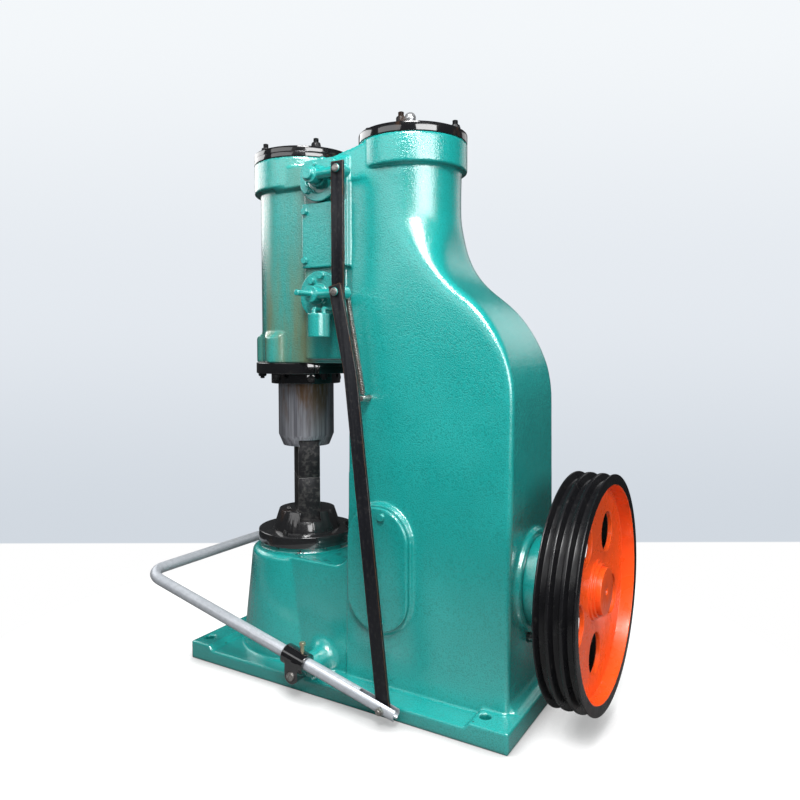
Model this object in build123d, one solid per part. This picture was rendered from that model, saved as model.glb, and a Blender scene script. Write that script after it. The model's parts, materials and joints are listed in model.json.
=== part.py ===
from build123d import *
import math
import os

# A small pneumatic forging hammer. The origin is the centre of the base's
# underside. +X runs to the belt pulley at the rear, -Y to the valve gear, +Z up.
# All sizes are in millimetres.

# Base plate with a raised strip at each end.
base_length = 810
base_width = 390
base_height = 30
base_corner_radius = 5
pad_height = 41
front_pad_length = 58
rear_pad_length = 78
pad_step_length = 10
bolt_hole_radius = 11
bolt_front_inset = 22
bolt_rear_inset = 62
bolt_side_inset = 40

# Column: flat drafted sides, and a back that sweeps in to a round neck.
column_front_x = 5
column_rear_x = 379
column_corner_radius = 10
side_draft_share = 0.0297
shoulder_z = 630
neck_end_z = 958
round_from_z = 880
round_to_z = 1010
shoulder_arc_share = 0.306
column_split_z = 610
column_level_count = 14
neck_round_share = 0.985
rear_cove_radius = 22

# Compressor cylinder, behind.
rear_axis_x = 97
neck_radius = 106
rear_flange_radius = 119
rear_flange_low_z = 1119
rear_flange_height = 61
rear_cover_thickness = 20
flange_round = 4
cover_round = 2

# Working cylinder, in front.
front_axis_x = -205
cylinder_radius = 104
cylinder_bore_radius = 75
front_flange_radius = 118.5
front_flange_low_z = 1103
front_flange_height = 68
front_cover_thickness = 24.5
head_low_z = 706
boss_radius = 38
boss_height = 58
boss_slope_rise = 14
boss_turns_share = (0.019, 0.164, 0.336, 0.481)

# The wall that ties the cylinders together rises to the rear one.
bridge_rise = 43
bridge_climb = 27
bridge_climb_front_x = -70
bridge_band_half = 113
bridge_band_drop = 5

# Gland under the working cylinder.
gland_radius = 118.5
gland_thickness = 25.5
collar_radius = 83.5
collar_length = 24.5

# Ram and dies.
ram_radius = 67
ram_chamfer = 27
ram_fit = 0.08
rod_inside = 124
piston_height = 115
die_width = 52
die_length = 100
die_turn_deg = -45
lower_die_height = 81
upper_die_height = 75.5
die_gap = 0.5
upper_tenon_depth = 15
lower_tenon_depth = 21
dovetail_share = 0.82
die_fit = 0.05

# Anvil.
anvil_seat_height = 14
anvil_ring_radius = 117
anvil_ring_height = 27
anvil_ring_round = 3
anvil_cap_foot_radius = 82
anvil_cap_top_radius = 67
anvil_cap_height = 46
anvil_spigot_radius = 60
anvil_spigot_depth = 26

# Pedestal under the anvil.
pedestal_high_z = 262
pedestal_foot_radius = 158
pedestal_top_radius = 131
pedestal_round = 13
pedestal_wall_inset = 5
front_cove_radius = 42
anvil_seat_radius = 108

# Valve gear. The two rotary valves lie across the machine.
valve_axis_x = -62
upper_valve_drop = 38
valve_spacing = 253
pad_face_y = -119
pad_front_x = -112
pad_rear_x = 4
pad_step_back = 14
pad_foot_rise = 9
chest_cover_low_gap = 60
chest_cover_high_gap = 53
chest_cover_thickness = 9
valve_cover_radius = 52
valve_cover_thickness = 14
gland_nose_radius = 22
gland_nose_length = 8
lever_recess_radius = 35
lever_recess_depth = 9
spindle_radius = 11
spindle_fit = 0.05
lever_length = 77
lever_hub_radius = 18
lever_near_y = -165
lever_far_y = -143
lever_arm_radius = 11
lever_eye_radius = 15
pin_radius = 6
pin_head_radius = 9
pin_head_length = 4
spring_pin_far_y = -128
stub_radius = 6.5
stub_length = 46
spindle_nut_radius = 12
spindle_nut_length = 9

# Flat links.
link_gap = 0.4
lean_gap = 1.4
upper_link_width = 30
lower_link_width = 30
link_thickness = 6
link_end_reach = 15
link_pin_fit = 0.8
foot_bolt_play = 3.5
link_bend_drop = 166
link_bend_offset = 13

# Treadle: a bent tube on a cross shaft.
arm_clearance = 23
tube_radius = 13
tube_wall = 3
tail_x = 183
tail_z = 27.6
bend_x = -529
bend_z = 192.8
bend_radius = 48
far_arm_end_x = 12
shaft_x = -62
shaft_z = 54
shaft_radius = 9
shaft_fit = 0.06
shaft_end_reach = 4
clamp_radius = 21.5
clamp_length = 58
clamp_eye_radius = 17
clamp_eye_inset = 15
clamp_eye_length = 37
clamp_fit = 0.02
foot_pivot_x = 154
foot_bolt_radius = 5
foot_bolt_length = 32
slot_length = 58
slot_play = 2.5
shaft_boss_radius = 25
shaft_boss_flare = 28
shaft_boss_root_y = 126
shaft_boss_inset = 6

# Return spring.
spring_radius = 6.3
spring_y = -136
spring_low_x = 55
spring_low_z = 634
spring_hook_drop = 6.45
spring_post_radius = 6
spring_post_root_y = -112
spring_post_end_y = -146
post_seat = 0.1

# Oil cup under the lower valve.
cup_radius = 24
cup_height = 50
cup_drop = 42
cup_x = -42
cup_y = -160
cup_stem_radius = 5
cup_stem_spread = 13

# Crank side covers.
crank_cover_x = 90
crank_cover_width = 147
crank_cover_height = 263
crank_cover_z = 277.5
crank_cover_thickness = 9
crank_cover_round = 3
crank_pad_thickness = 9
crank_pad_margin = 5

# Main bearing, crankshaft and belt pulley.
crank_z = 267
bearing_ring_radius = 104
bearing_ring_thickness = 12
bearing_cap_radius = 92
bearing_cap_thickness = 26
bearing_cap_round = 4
crankshaft_radius = 46
crankshaft_fit = 0.05
crankshaft_front_x = 250
crankshaft_end_inset = 6
pulley_standoff = 156
pulley_width = 75
pulley_radius = 227
pulley_rim_radius = 205
groove_count = 3
groove_depth = 14
groove_width = 19
groove_root_share = 0.55
web_thickness = 16
web_inset = 27
web_hole_count = 5
web_hole_radius = 40
web_hole_circle_radius = 125
web_hole_start_deg = 52
hub_radius = 58
hub_inset = 22
hub_length = 61
hub_step_radius = 52
hub_step_length = 6
drain_plug_radius = 11
drain_plug_length = 12
drain_plug_z = 156
drain_plug_y = -22

# Round cap on the compressor cover, near its rim.
dome_radius = 12
dome_rise = 10
dome_x = 141
dome_y = -88

# One overrun serves all cuts.
overrun = 5

# Places that follow from the sizes above.
bolt_front_x = bolt_front_inset - base_length / 2
bolt_rear_x = base_length / 2 - bolt_rear_inset
bolt_half_spacing = base_width / 2 - bolt_side_inset
rear_cover_low_z = rear_flange_low_z + rear_flange_height
rear_cover_high_z = rear_cover_low_z + rear_cover_thickness
front_cover_low_z = front_flange_low_z + front_flange_height
front_cover_high_z = front_cover_low_z + front_cover_thickness
front_cover_joint_z = (front_cover_low_z + front_cover_high_z) / 2
bridge_high_z = front_flange_low_z + bridge_rise
bridge_rear_z = bridge_high_z + bridge_climb
boss_edge_z = head_low_z + boss_height
boss_high_z = boss_edge_z + boss_slope_rise
gland_low_z = head_low_z - gland_thickness
collar_low_z = gland_low_z - collar_length
anvil_ring_low_z = pedestal_high_z + anvil_seat_height
anvil_ring_high_z = anvil_ring_low_z + anvil_ring_height
anvil_cap_high_z = anvil_ring_high_z + anvil_cap_height
anvil_spigot_low_z = anvil_ring_low_z - anvil_spigot_depth
lower_die_foot_z = anvil_cap_high_z - lower_tenon_depth
die_seam_z = anvil_cap_high_z + lower_die_height
ram_low_z = die_seam_z + die_gap + upper_die_height
upper_die_neck_z = ram_low_z + upper_tenon_depth
rod_high_z = head_low_z + rod_inside
piston_high_z = rod_high_z + piston_height
upper_valve_z = bridge_high_z - upper_valve_drop
lower_valve_z = upper_valve_z - valve_spacing
cup_high_z = lower_valve_z - cup_drop
pad_low_z = head_low_z + pad_foot_rise
chest_cover_low_z = lower_valve_z + chest_cover_low_gap
chest_cover_high_z = upper_valve_z - chest_cover_high_gap
arm_y = base_width / 2 + arm_clearance
clamp_eye_far = arm_y - clamp_eye_inset
clamp_eye_near = clamp_eye_far + clamp_eye_length
shaft_end_y = clamp_eye_near + shaft_end_reach
shaft_boss_end_y = base_width / 2 - shaft_boss_inset
pulley_face_x = column_rear_x + pulley_standoff
web_face_x = pulley_face_x - web_inset
hub_rear_x = pulley_face_x - hub_inset
hub_front_x = hub_rear_x - hub_length
crankshaft_end_x = pulley_face_x - crankshaft_end_inset

STANDING = (Align.CENTER, Align.CENTER, Align.MIN)


def half_side(z):
    """Half the column's width at a height: drafted up to the plain neck."""
    return neck_radius + side_draft_share * max(0, neck_end_z - z)


def upright(radius, low, high, x=0, y=0):
    """A round bar standing between two heights."""
    return Pos(x, y, low) * Cylinder(radius, high - low, align=STANDING)


def crosswise(radius, y_from, y_to, x, z):
    """A round bar lying along Y."""
    return Pos(x, y_from, z) * Rot(-90, 0, 0) * Cylinder(radius, y_to - y_from, align=STANDING)


def lengthwise(radius, x_from, x_to, y, z):
    """A round bar lying along X."""
    return Pos(x_from, y, z) * Rot(0, 90, 0) * Cylinder(radius, x_to - x_from, align=STANDING)


def block(x_from, x_to, y_from, y_to, z_from, z_to):
    """A plain block between two corners."""
    low = (Align.MIN, Align.MIN, Align.MIN)
    return Pos(x_from, y_from, z_from) * Box(x_to - x_from, y_to - y_from, z_to - z_from, align=low)


def both_sides(solid):
    """A solid and its twin across the machine's middle plane."""
    return solid + mirror(solid, about=Plane.XZ)


def rounded_section(x_flat, x_round, half, corner, z):
    """A level section with one flat end and one end with rounded corners."""
    way = math.copysign(1, x_round - x_flat)
    bevel = corner * math.sqrt(0.5)
    x_mid = x_round - way * corner
    y_mid = half - corner
    near = ThreePointArc((x_mid, -half), (x_mid + way * bevel, -y_mid - bevel), (x_round, -y_mid))
    far = ThreePointArc((x_round, y_mid), (x_mid + way * bevel, y_mid + bevel), (x_mid, half))
    outline = [
        Line((x_flat, -half), (x_mid, -half)),
        near,
        Line((x_round, -y_mid), (x_round, y_mid)),
        far,
        Line((x_mid, half), (x_flat, half)),
        Line((x_flat, half), (x_flat, -half)),
    ]
    return Pos(0, 0, z) * make_face(Wire(outline))


def column_back(z):
    """The back of the column at a height: two arcs that meet in one tangent."""
    reach = column_rear_x - (rear_axis_x + neck_radius)
    rise = neck_end_z - shoulder_z
    turn = 2 * math.atan2(reach, rise)
    both_radii = rise / math.sin(turn)
    upper = shoulder_arc_share * both_radii
    lower = both_radii - upper
    if z >= neck_end_z:
        return rear_axis_x + neck_radius
    if z <= shoulder_z:
        return column_rear_x
    if z > neck_end_z - upper * math.sin(turn):
        return rear_axis_x + neck_radius + upper - math.sqrt(upper**2 - (neck_end_z - z) ** 2)
    return column_rear_x - lower + math.sqrt(lower**2 - (z - shoulder_z) ** 2)


def column_corner(z):
    """The corner radius at a height: it opens out until the neck is round."""
    share = (z - round_from_z) / (round_to_z - round_from_z)
    share = min(1, max(0, share))
    full = half_side(z) - column_corner_radius
    return column_corner_radius + neck_round_share * share * full


def column():
    """The column: a drafted foot, a shoulder that sweeps in, and a round neck."""
    step = (round_to_z - column_split_z) / (column_level_count - 1)
    sections = []
    for number in range(column_level_count):
        z = column_split_z + number * step
        sections.append(
            rounded_section(column_front_x, column_back(z), half_side(z), column_corner(z), z)
        )
    foot = rounded_section(column_front_x, column_rear_x, half_side(0), column_corner_radius, 0)
    neck = extrude(sections[-1], amount=rear_flange_low_z + overrun - round_to_z)
    return loft([foot, sections[0]], ruled=True) + loft(sections) + neck


def base_plate():
    """The base with its two raised strips and four bolt holes."""
    half = base_length / 2
    front_edge = -half + front_pad_length
    rear_edge = half - rear_pad_length
    side_view = Polyline(
        (-half, 0),
        (half, 0),
        (half, pad_height),
        (rear_edge, pad_height),
        (rear_edge - pad_step_length, base_height),
        (front_edge + pad_step_length, base_height),
        (front_edge, pad_height),
        (-half, pad_height),
        close=True,
    )
    plate = extrude(Plane.XZ * make_face(side_view), amount=base_width / 2, both=True)
    corners = plate.edges().filter_by(Axis.Z).group_by(SortBy.LENGTH)[-1]
    return fillet(corners, base_corner_radius)


def rear_cove():
    """The hollow curve where the back of the column meets the base."""
    half = half_side(pad_height) - column_corner_radius
    x_end = column_rear_x + rear_cove_radius
    z_end = pad_height + rear_cove_radius
    strip = block(column_rear_x - overrun, x_end, -half, half, pad_height - overrun, z_end)
    return strip - crosswise(rear_cove_radius, -base_width, base_width, x_end, z_end)


def bolt_holes():
    """The four holding-down holes."""
    holes = Part()
    for x in (bolt_front_x, bolt_rear_x):
        for y in (-bolt_half_spacing, bolt_half_spacing):
            holes += upright(bolt_hole_radius, -overrun, pad_height + overrun, x, y)
    return holes


def front_cove():
    """The hollow curve where the front of the column rises from the pedestal."""
    half = half_side(pedestal_high_z) - pedestal_wall_inset
    x_end = column_front_x - front_cove_radius
    z_end = pedestal_high_z + front_cove_radius
    strip = block(x_end, column_front_x + overrun, -half, half, pedestal_high_z - overrun, z_end)
    return strip - crosswise(front_cove_radius, -base_width, base_width, x_end, z_end)


def pedestal():
    """The round drum that carries the anvil, and the wall that ties it to the column."""
    drum = Cone(pedestal_foot_radius, pedestal_top_radius, pedestal_high_z, align=STANDING)
    drum = fillet(drum.edges().group_by(Axis.Z)[-1], pedestal_round)
    walls = []
    for z in (0, pedestal_high_z):
        half = half_side(z) - pedestal_wall_inset
        reach = column_front_x + column_corner_radius - front_axis_x
        outline = Rectangle(reach, 2 * half, align=(Align.MIN, Align.CENTER))
        walls.append(Pos(front_axis_x, 0, z) * outline)
    mass = Pos(front_axis_x, 0, 0) * drum + loft(walls, ruled=True) + front_cove()
    return mass + upright(anvil_seat_radius, pedestal_high_z - overrun, anvil_ring_low_z, front_axis_x)


def flange(radius, low, high, x):
    """A cylinder's top flange with its lower edge rounded."""
    disc = upright(radius, low, high, x)
    return fillet(disc.edges().group_by(Axis.Z)[0], flange_round)


def bridge():
    """The wall between the cylinders, wider near its top, which climbs to the rear flange."""
    climb_end = rear_axis_x - math.sqrt(rear_flange_radius**2 - cylinder_radius**2)
    side_view = Polyline(
        (front_axis_x, head_low_z),
        (rear_axis_x, head_low_z),
        (rear_axis_x, bridge_rear_z),
        (climb_end, bridge_rear_z),
        (bridge_climb_front_x, bridge_high_z),
        (front_axis_x, bridge_high_z),
        close=True,
    )
    face = Plane.XZ * make_face(side_view)
    plan = Polyline(
        (front_axis_x, -bridge_band_half),
        (bridge_climb_front_x, -bridge_band_half),
        (rear_axis_x, -cylinder_radius),
        (rear_axis_x, cylinder_radius),
        (bridge_climb_front_x, bridge_band_half),
        (front_axis_x, bridge_band_half),
        close=True,
    )
    low = front_flange_low_z - bridge_band_drop
    band = Pos(0, 0, low) * extrude(make_face(plan), amount=bridge_rear_z + overrun - low)
    band = band & extrude(face, amount=bridge_band_half, both=True)
    return extrude(face, amount=cylinder_radius, both=True) + band


def working_head():
    """The working cylinder with its flange and the bosses at its foot."""
    head = upright(cylinder_radius, head_low_z, front_cover_low_z, front_axis_x)
    head += flange(front_flange_radius, front_flange_low_z, front_cover_low_z, front_axis_x)
    bosses = Part()
    for share in boss_turns_share:
        turn = 2 * math.pi * share
        reach = gland_radius - boss_radius
        x = front_axis_x - reach * math.sin(turn)
        y = -reach * math.cos(turn)
        bosses += upright(boss_radius, head_low_z, boss_high_z, x, y)
    keep = upright(gland_radius, head_low_z, boss_edge_z, front_axis_x)
    keep += Pos(front_axis_x, 0, boss_edge_z) * Cone(
        gland_radius, cylinder_radius, boss_slope_rise, align=STANDING
    )
    return head + (bosses & keep)


def valve_pad():
    """The flat raised pad that carries the valve covers, on one side."""
    narrow = block(pad_front_x, pad_rear_x - pad_step_back, pad_face_y, 0, pad_low_z, bridge_high_z)
    return narrow + block(pad_front_x, pad_rear_x, pad_face_y, 0, chest_cover_low_z, bridge_high_z)


def crank_pad():
    """The raised rim round a crank cover, on the near side."""
    width = crank_cover_width + 2 * crank_pad_margin
    height = crank_cover_height + 2 * crank_pad_margin
    shape = Rot(90, 0, 0) * SlotOverall(height, width, rotation=90)
    return Pos(crank_cover_x, 0, crank_cover_z) * extrude(shape, amount=crank_face_y())


def crank_face_y():
    """Half the width over the two crank pads."""
    return half_side(crank_cover_z) + crank_pad_thickness


def shaft_boss():
    """The boss that holds the treadle shaft, flared at its root, on the near side."""
    end = shaft_boss_radius
    root = end + shaft_boss_flare
    middle = shaft_boss_flare * (1 - math.sqrt(0.5))
    length = shaft_boss_end_y - shaft_boss_root_y
    outline = [
        Line((0, -overrun), (root, -overrun)),
        Line((root, -overrun), (root, 0)),
        ThreePointArc((root, 0), (end + middle, middle), (end, shaft_boss_flare)),
        Line((end, shaft_boss_flare), (end, length)),
        Line((end, length), (0, length)),
        Line((0, length), (0, -overrun)),
    ]
    turned = revolve(Plane.XZ * make_face(Wire(outline)), axis=Axis.Z)
    return Pos(shaft_x, -shaft_boss_root_y, shaft_z) * Rot(90, 0, 0) * turned


def frame_casting():
    """Base, pedestal, column and both cylinders in one casting."""
    frame = base_plate() + column() + rear_cove() + pedestal() + working_head() + bridge()
    frame += flange(rear_flange_radius, rear_flange_low_z, rear_cover_low_z, rear_axis_x)
    frame += both_sides(valve_pad())
    frame += both_sides(crank_pad())
    bosses = both_sides(shaft_boss())
    frame += bosses - block(-base_length, base_length, -base_width, base_width, -base_width, 0)
    frame += lengthwise(
        bearing_ring_radius, column_rear_x - overrun, column_rear_x + bearing_ring_thickness, 0, crank_z
    )
    frame -= bolt_holes()
    frame -= upright(cylinder_bore_radius, head_low_z - overrun, front_cover_low_z + overrun, front_axis_x)
    frame -= upright(anvil_spigot_radius, anvil_spigot_low_z, anvil_ring_high_z, front_axis_x)
    frame -= crosswise(shaft_radius + shaft_fit, -base_width, base_width, shaft_x, shaft_z)
    frame -= lengthwise(
        crankshaft_radius + crankshaft_fit, crankshaft_front_x - overrun, pulley_face_x, 0, crank_z
    )
    for z in (upper_valve_z, lower_valve_z):
        frame -= crosswise(spindle_radius + spindle_fit, pad_face_y - overrun, spindle_root_y(), valve_axis_x, z)
    frame -= crosswise(
        spring_post_radius, -base_width, spring_post_root_y + post_seat, spring_low_x, spring_low_z
    )
    frame -= lengthwise(
        drain_plug_radius, column_rear_x - drain_plug_length, pulley_face_x, drain_plug_y, drain_plug_z
    )
    return frame


def spindle_root_y():
    """Where the valve spindles end inside the casting."""
    return pad_face_y / 2


def cover_plate(radius, low, high, x):
    """A round cover with its top edge rounded."""
    disc = upright(radius, low, high, x)
    return fillet(disc.edges().group_by(Axis.Z)[-1], cover_round)


def compressor_cylinder_head():
    """The cover plate of the rear cylinder."""
    return cover_plate(rear_flange_radius, rear_cover_low_z, rear_cover_high_z, rear_axis_x)


def breather_cap():
    """The small round cap on the rear cover."""
    ball = Pos(dome_x, dome_y, rear_cover_high_z + dome_rise) * Sphere(dome_radius)
    top = rear_cover_high_z + dome_rise + dome_radius
    return ball & upright(dome_radius + overrun, rear_cover_high_z, top + overrun, dome_x, dome_y)


def working_cylinder_gasket():
    """The lower of the two plates on the front cylinder."""
    return cover_plate(front_flange_radius, front_cover_low_z, front_cover_joint_z, front_axis_x)


def working_cylinder_head():
    """The upper of the two plates on the front cylinder."""
    return cover_plate(front_flange_radius, front_cover_joint_z, front_cover_high_z, front_axis_x)


def gland_flange():
    """The ring that closes the working cylinder below."""
    ring = upright(gland_radius, gland_low_z, head_low_z, front_axis_x)
    return ring - upright(ram_radius + ram_fit, gland_low_z - overrun, head_low_z + overrun, front_axis_x)


def gland_collar():
    """The packing collar round the ram."""
    ring = upright(collar_radius, collar_low_z, gland_low_z, front_axis_x)
    return ring - upright(ram_radius + ram_fit, collar_low_z - overrun, gland_low_z + overrun, front_axis_x)


def anvil_ring():
    """The clamp ring round the anvil cap."""
    disc = upright(anvil_ring_radius, anvil_ring_low_z, anvil_ring_high_z, front_axis_x)
    ring = fillet(disc.edges().filter_by(GeomType.CIRCLE), anvil_ring_round)
    hole_top = anvil_ring_high_z + overrun
    return ring - upright(anvil_spigot_radius, anvil_ring_low_z - overrun, hole_top, front_axis_x)


def die_frame():
    """The dies' own place: on the ram's axis, turned across the frame."""
    return Pos(front_axis_x, 0, 0) * Rot(0, 0, die_turn_deg)


def die_bar(low, high, width=die_width):
    """A bar of the dies' length between two heights."""
    return die_frame() * Pos(0, 0, low) * Box(die_length, width, high - low, align=STANDING)


def die_tail(low, high, low_width, high_width, length):
    """A tapered tenon along the dies' length."""
    outline = Polyline(
        (-low_width / 2, low), (low_width / 2, low), (high_width / 2, high), (-high_width / 2, high), close=True
    )
    return die_frame() * extrude(Plane.YZ * make_face(outline), amount=length / 2, both=True)


def anvil_cap():
    """The cone that holds the lower die in its slot."""
    height = anvil_cap_high_z - anvil_ring_high_z
    cone = Pos(front_axis_x, 0, anvil_ring_high_z) * Cone(
        anvil_cap_foot_radius, anvil_cap_top_radius, height, align=STANDING
    )
    cap = cone + upright(anvil_spigot_radius, anvil_spigot_low_z, anvil_ring_high_z, front_axis_x)
    slot = die_tail(
        lower_die_foot_z - die_fit,
        anvil_cap_high_z + overrun,
        die_width + die_fit,
        die_width * dovetail_share + die_fit,
        2 * anvil_cap_foot_radius,
    )
    return cap - slot


def lower_die():
    """The lower die with its tenon in the anvil cap."""
    tail = die_tail(lower_die_foot_z, anvil_cap_high_z, die_width, die_width * dovetail_share, die_length)
    return tail + die_bar(anvil_cap_high_z, die_seam_z, die_width)


def upper_die():
    """The upper die with its tenon in the ram."""
    low = die_seam_z + die_gap
    tail = die_tail(ram_low_z, upper_die_neck_z, die_width * dovetail_share, die_width, die_length)
    return die_bar(low, ram_low_z) + tail


def ram():
    """The ram with its piston above and the dovetail for the die below."""
    rod = upright(ram_radius, ram_low_z, rod_high_z, front_axis_x)
    rod = chamfer(rod.edges().group_by(Axis.Z)[0], ram_chamfer, ram_chamfer * dovetail_share / 2)
    piston = upright(cylinder_bore_radius - ram_fit, rod_high_z, piston_high_z, front_axis_x)
    slot = die_tail(
        ram_low_z - overrun,
        upper_die_neck_z + die_fit,
        die_width * dovetail_share + die_fit,
        die_width + die_fit,
        2 * ram_radius,
    )
    return rod + piston - slot


def valve_chest_cover():
    """The plate over the air passages between the valves."""
    return block(
        pad_front_x,
        pad_rear_x,
        pad_face_y - chest_cover_thickness,
        pad_face_y,
        chest_cover_low_z,
        chest_cover_high_z,
    )


def far_chest_cover():
    """The same plate on the far side."""
    return mirror(valve_chest_cover(), about=Plane.XZ)


def valve_cover(z):
    """A round valve cover with its gland nose, bored for the spindle."""
    front = pad_face_y - valve_cover_thickness
    cover = crosswise(valve_cover_radius, front, pad_face_y, valve_axis_x, z)
    cover += crosswise(gland_nose_radius, front - gland_nose_length, front, valve_axis_x, z)
    keep = block(pad_front_x, pad_rear_x, -base_width, pad_face_y, pad_low_z, bridge_high_z)
    window = block(-base_length, base_length, -base_width, 0, chest_cover_low_z, chest_cover_high_z)
    bore = crosswise(spindle_radius + spindle_fit, -base_width, 0, valve_axis_x, z)
    return (cover & keep) - window - bore


def upper_valve_cover():
    """The upper valve's cover, hollowed under its lever."""
    front = pad_face_y - valve_cover_thickness
    recess = crosswise(
        lever_recess_radius, front - overrun, front + lever_recess_depth, valve_axis_x, upper_valve_z
    )
    recess -= crosswise(gland_nose_radius, -base_width, 0, valve_axis_x, upper_valve_z)
    recess -= block(-base_length, base_length, -base_width, 0, upper_valve_z, bridge_high_z)
    return valve_cover(upper_valve_z) - recess


def lower_valve_cover():
    """The lower valve's cover."""
    return valve_cover(lower_valve_z)


def far_valve_cover(z):
    """A plain round cover over a valve's blind end."""
    front = -pad_face_y + valve_cover_thickness
    cover = crosswise(valve_cover_radius, -pad_face_y, front, valve_axis_x, z)
    window = block(-base_length, base_length, 0, base_width, chest_cover_low_z, chest_cover_high_z)
    return cover - window


def far_upper_valve_cover():
    """The upper valve's blind cover."""
    return far_valve_cover(upper_valve_z)


def far_lower_valve_cover():
    """The lower valve's blind cover."""
    return far_valve_cover(lower_valve_z)


def crank_cover():
    """The long round-ended cover over the crank, near side."""
    shape = Rot(90, 0, 0) * SlotOverall(crank_cover_height, crank_cover_width, rotation=90)
    plate = extrude(shape, amount=crank_cover_thickness)
    plate = fillet(plate.edges().group_by(Axis.Y)[0], crank_cover_round)
    return Pos(crank_cover_x, -crank_face_y(), crank_cover_z) * plate


def far_crank_cover():
    """The same cover on the far side."""
    return mirror(crank_cover(), about=Plane.XZ)


def main_bearing_cap():
    """The cap over the main bearing, bored for the crankshaft."""
    start = column_rear_x + bearing_ring_thickness
    cap = lengthwise(bearing_cap_radius, start, start + bearing_cap_thickness, 0, crank_z)
    cap = fillet(cap.edges().group_by(Axis.X)[-1], bearing_cap_round)
    return cap - lengthwise(crankshaft_radius + crankshaft_fit, 0, pulley_face_x, 0, crank_z)


def drain_plug():
    """The oil drain plug in the back."""
    return lengthwise(
        drain_plug_radius,
        column_rear_x - drain_plug_length,
        column_rear_x + drain_plug_length,
        drain_plug_y,
        drain_plug_z,
    )


def oil_cup():
    """The oil cup that hangs from the lower valve's cover on its two pipes."""
    cup = upright(cup_radius, cup_high_z - cup_height, cup_high_z, cup_x, cup_y)
    stem_top = cup_high_z + 2 * cup_stem_radius
    for x in (cup_x - cup_stem_spread, cup_x + cup_stem_spread):
        cup += upright(cup_stem_radius, cup_high_z, stem_top, x, cup_y)
        cup += crosswise(cup_stem_radius, cup_y, pad_face_y - valve_cover_thickness, x, stem_top)
    return cup


def spring_post():
    """The pin in the column that holds the spring's lower end."""
    return crosswise(
        spring_post_radius, spring_post_end_y, spring_post_root_y, spring_low_x, spring_low_z
    )


def pin_x():
    """Where the link pins sit at rest."""
    return valve_axis_x + lever_length


def valve_lever(z):
    """A valve lever: spindle, hub, arm and the eye for its pin."""
    lever = crosswise(spindle_radius, lever_near_y, spindle_root_y(), valve_axis_x, z)
    lever += crosswise(lever_hub_radius, lever_near_y, lever_far_y, valve_axis_x, z)
    middle = (lever_near_y + lever_far_y) / 2
    lever += lengthwise(lever_arm_radius, valve_axis_x, pin_x(), middle, z)
    lever += crosswise(lever_eye_radius, lever_near_y, lever_far_y, pin_x(), z)
    return lever


def link_pin(z, far_y, plates):
    """A headed pin through a lever's eye and its link plates."""
    outside = lever_near_y - plates * (link_thickness + link_gap) - plates * lean_gap
    pin = crosswise(pin_radius, outside, far_y, pin_x(), z)
    return pin + crosswise(pin_head_radius, outside - pin_head_length, outside, pin_x(), z)


def upper_valve_lever():
    """The upper lever with its spindle, end nut and pin."""
    lever = valve_lever(upper_valve_z) + link_pin(upper_valve_z, lever_far_y, 1)
    nut_end = lever_near_y - spindle_nut_length
    return lever + crosswise(spindle_nut_radius, nut_end, lever_near_y, valve_axis_x, upper_valve_z)


def lower_valve_lever():
    """The lower lever with its spindle, hand stub and long pin."""
    lever = valve_lever(lower_valve_z) + link_pin(lower_valve_z, spring_pin_far_y, 2)
    stub_end = lever_near_y - stub_length
    return lever + crosswise(stub_radius, stub_end, lever_near_y, valve_axis_x, lower_valve_z)


def upper_link():
    """The upright flat link between the two levers."""
    near = lever_near_y - link_gap - link_thickness
    bar = block(
        pin_x() - upper_link_width / 2,
        pin_x() + upper_link_width / 2,
        near,
        lever_near_y - link_gap,
        lower_valve_z - link_end_reach,
        upper_valve_z + link_end_reach,
    )
    for z in (lower_valve_z, upper_valve_z):
        bar -= crosswise(pin_radius + link_pin_fit, -base_width, 0, pin_x(), z)
    return bar


def lower_link_top():
    """The middle of the lower link's bar at its pin."""
    step = link_thickness + link_gap
    return Vector(pin_x(), lever_near_y - step - lean_gap - link_thickness / 2, lower_valve_z)


def foot_pivot():
    """The middle of the tube at the cross bolt for the lower link."""
    return Vector(foot_pivot_x, -arm_y, arm_height(foot_pivot_x))


def lower_link():
    """The long flat link down to the treadle's tail, bent once below its pin."""
    top = lower_link_top()
    foot = foot_pivot()
    rise = Vector(0, top.Y - foot.Y, top.Z - foot.Z)
    plane = Plane(origin=foot, x_dir=Vector(1, 0, 0), z_dir=Vector(1, 0, 0).cross(rise))
    head = Vector(top.X - foot.X, rise.length)
    level = rise.length - link_bend_drop
    bend = Vector(head.X * level / rise.length + link_bend_offset, level)
    bar = Pos(bend.X, bend.Y) * Circle(lower_link_width / 2)
    for start, end, reach in ((bend, Vector(0, 0), tube_radius / 2), (bend, head, link_end_reach)):
        way = end - start
        turn = math.degrees(math.atan2(way.Y, way.X))
        flat = Rectangle(way.length + reach, lower_link_width, align=(Align.MIN, Align.CENTER))
        bar += Pos(start.X, start.Y) * Rot(0, 0, turn) * flat
    bar = extrude(plane * bar, amount=link_thickness / 2, both=True)
    bar -= crosswise(pin_radius + link_pin_fit, -base_width, 0, top.X, top.Z)
    bar -= crosswise(foot_bolt_radius + foot_bolt_play, -base_width, 0, foot.X, foot.Z)
    return bar


def arm_height(x):
    """The height of the treadle arm's middle line."""
    return tail_z + (tail_x - x) * (bend_z - tail_z) / (tail_x - bend_x)


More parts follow.
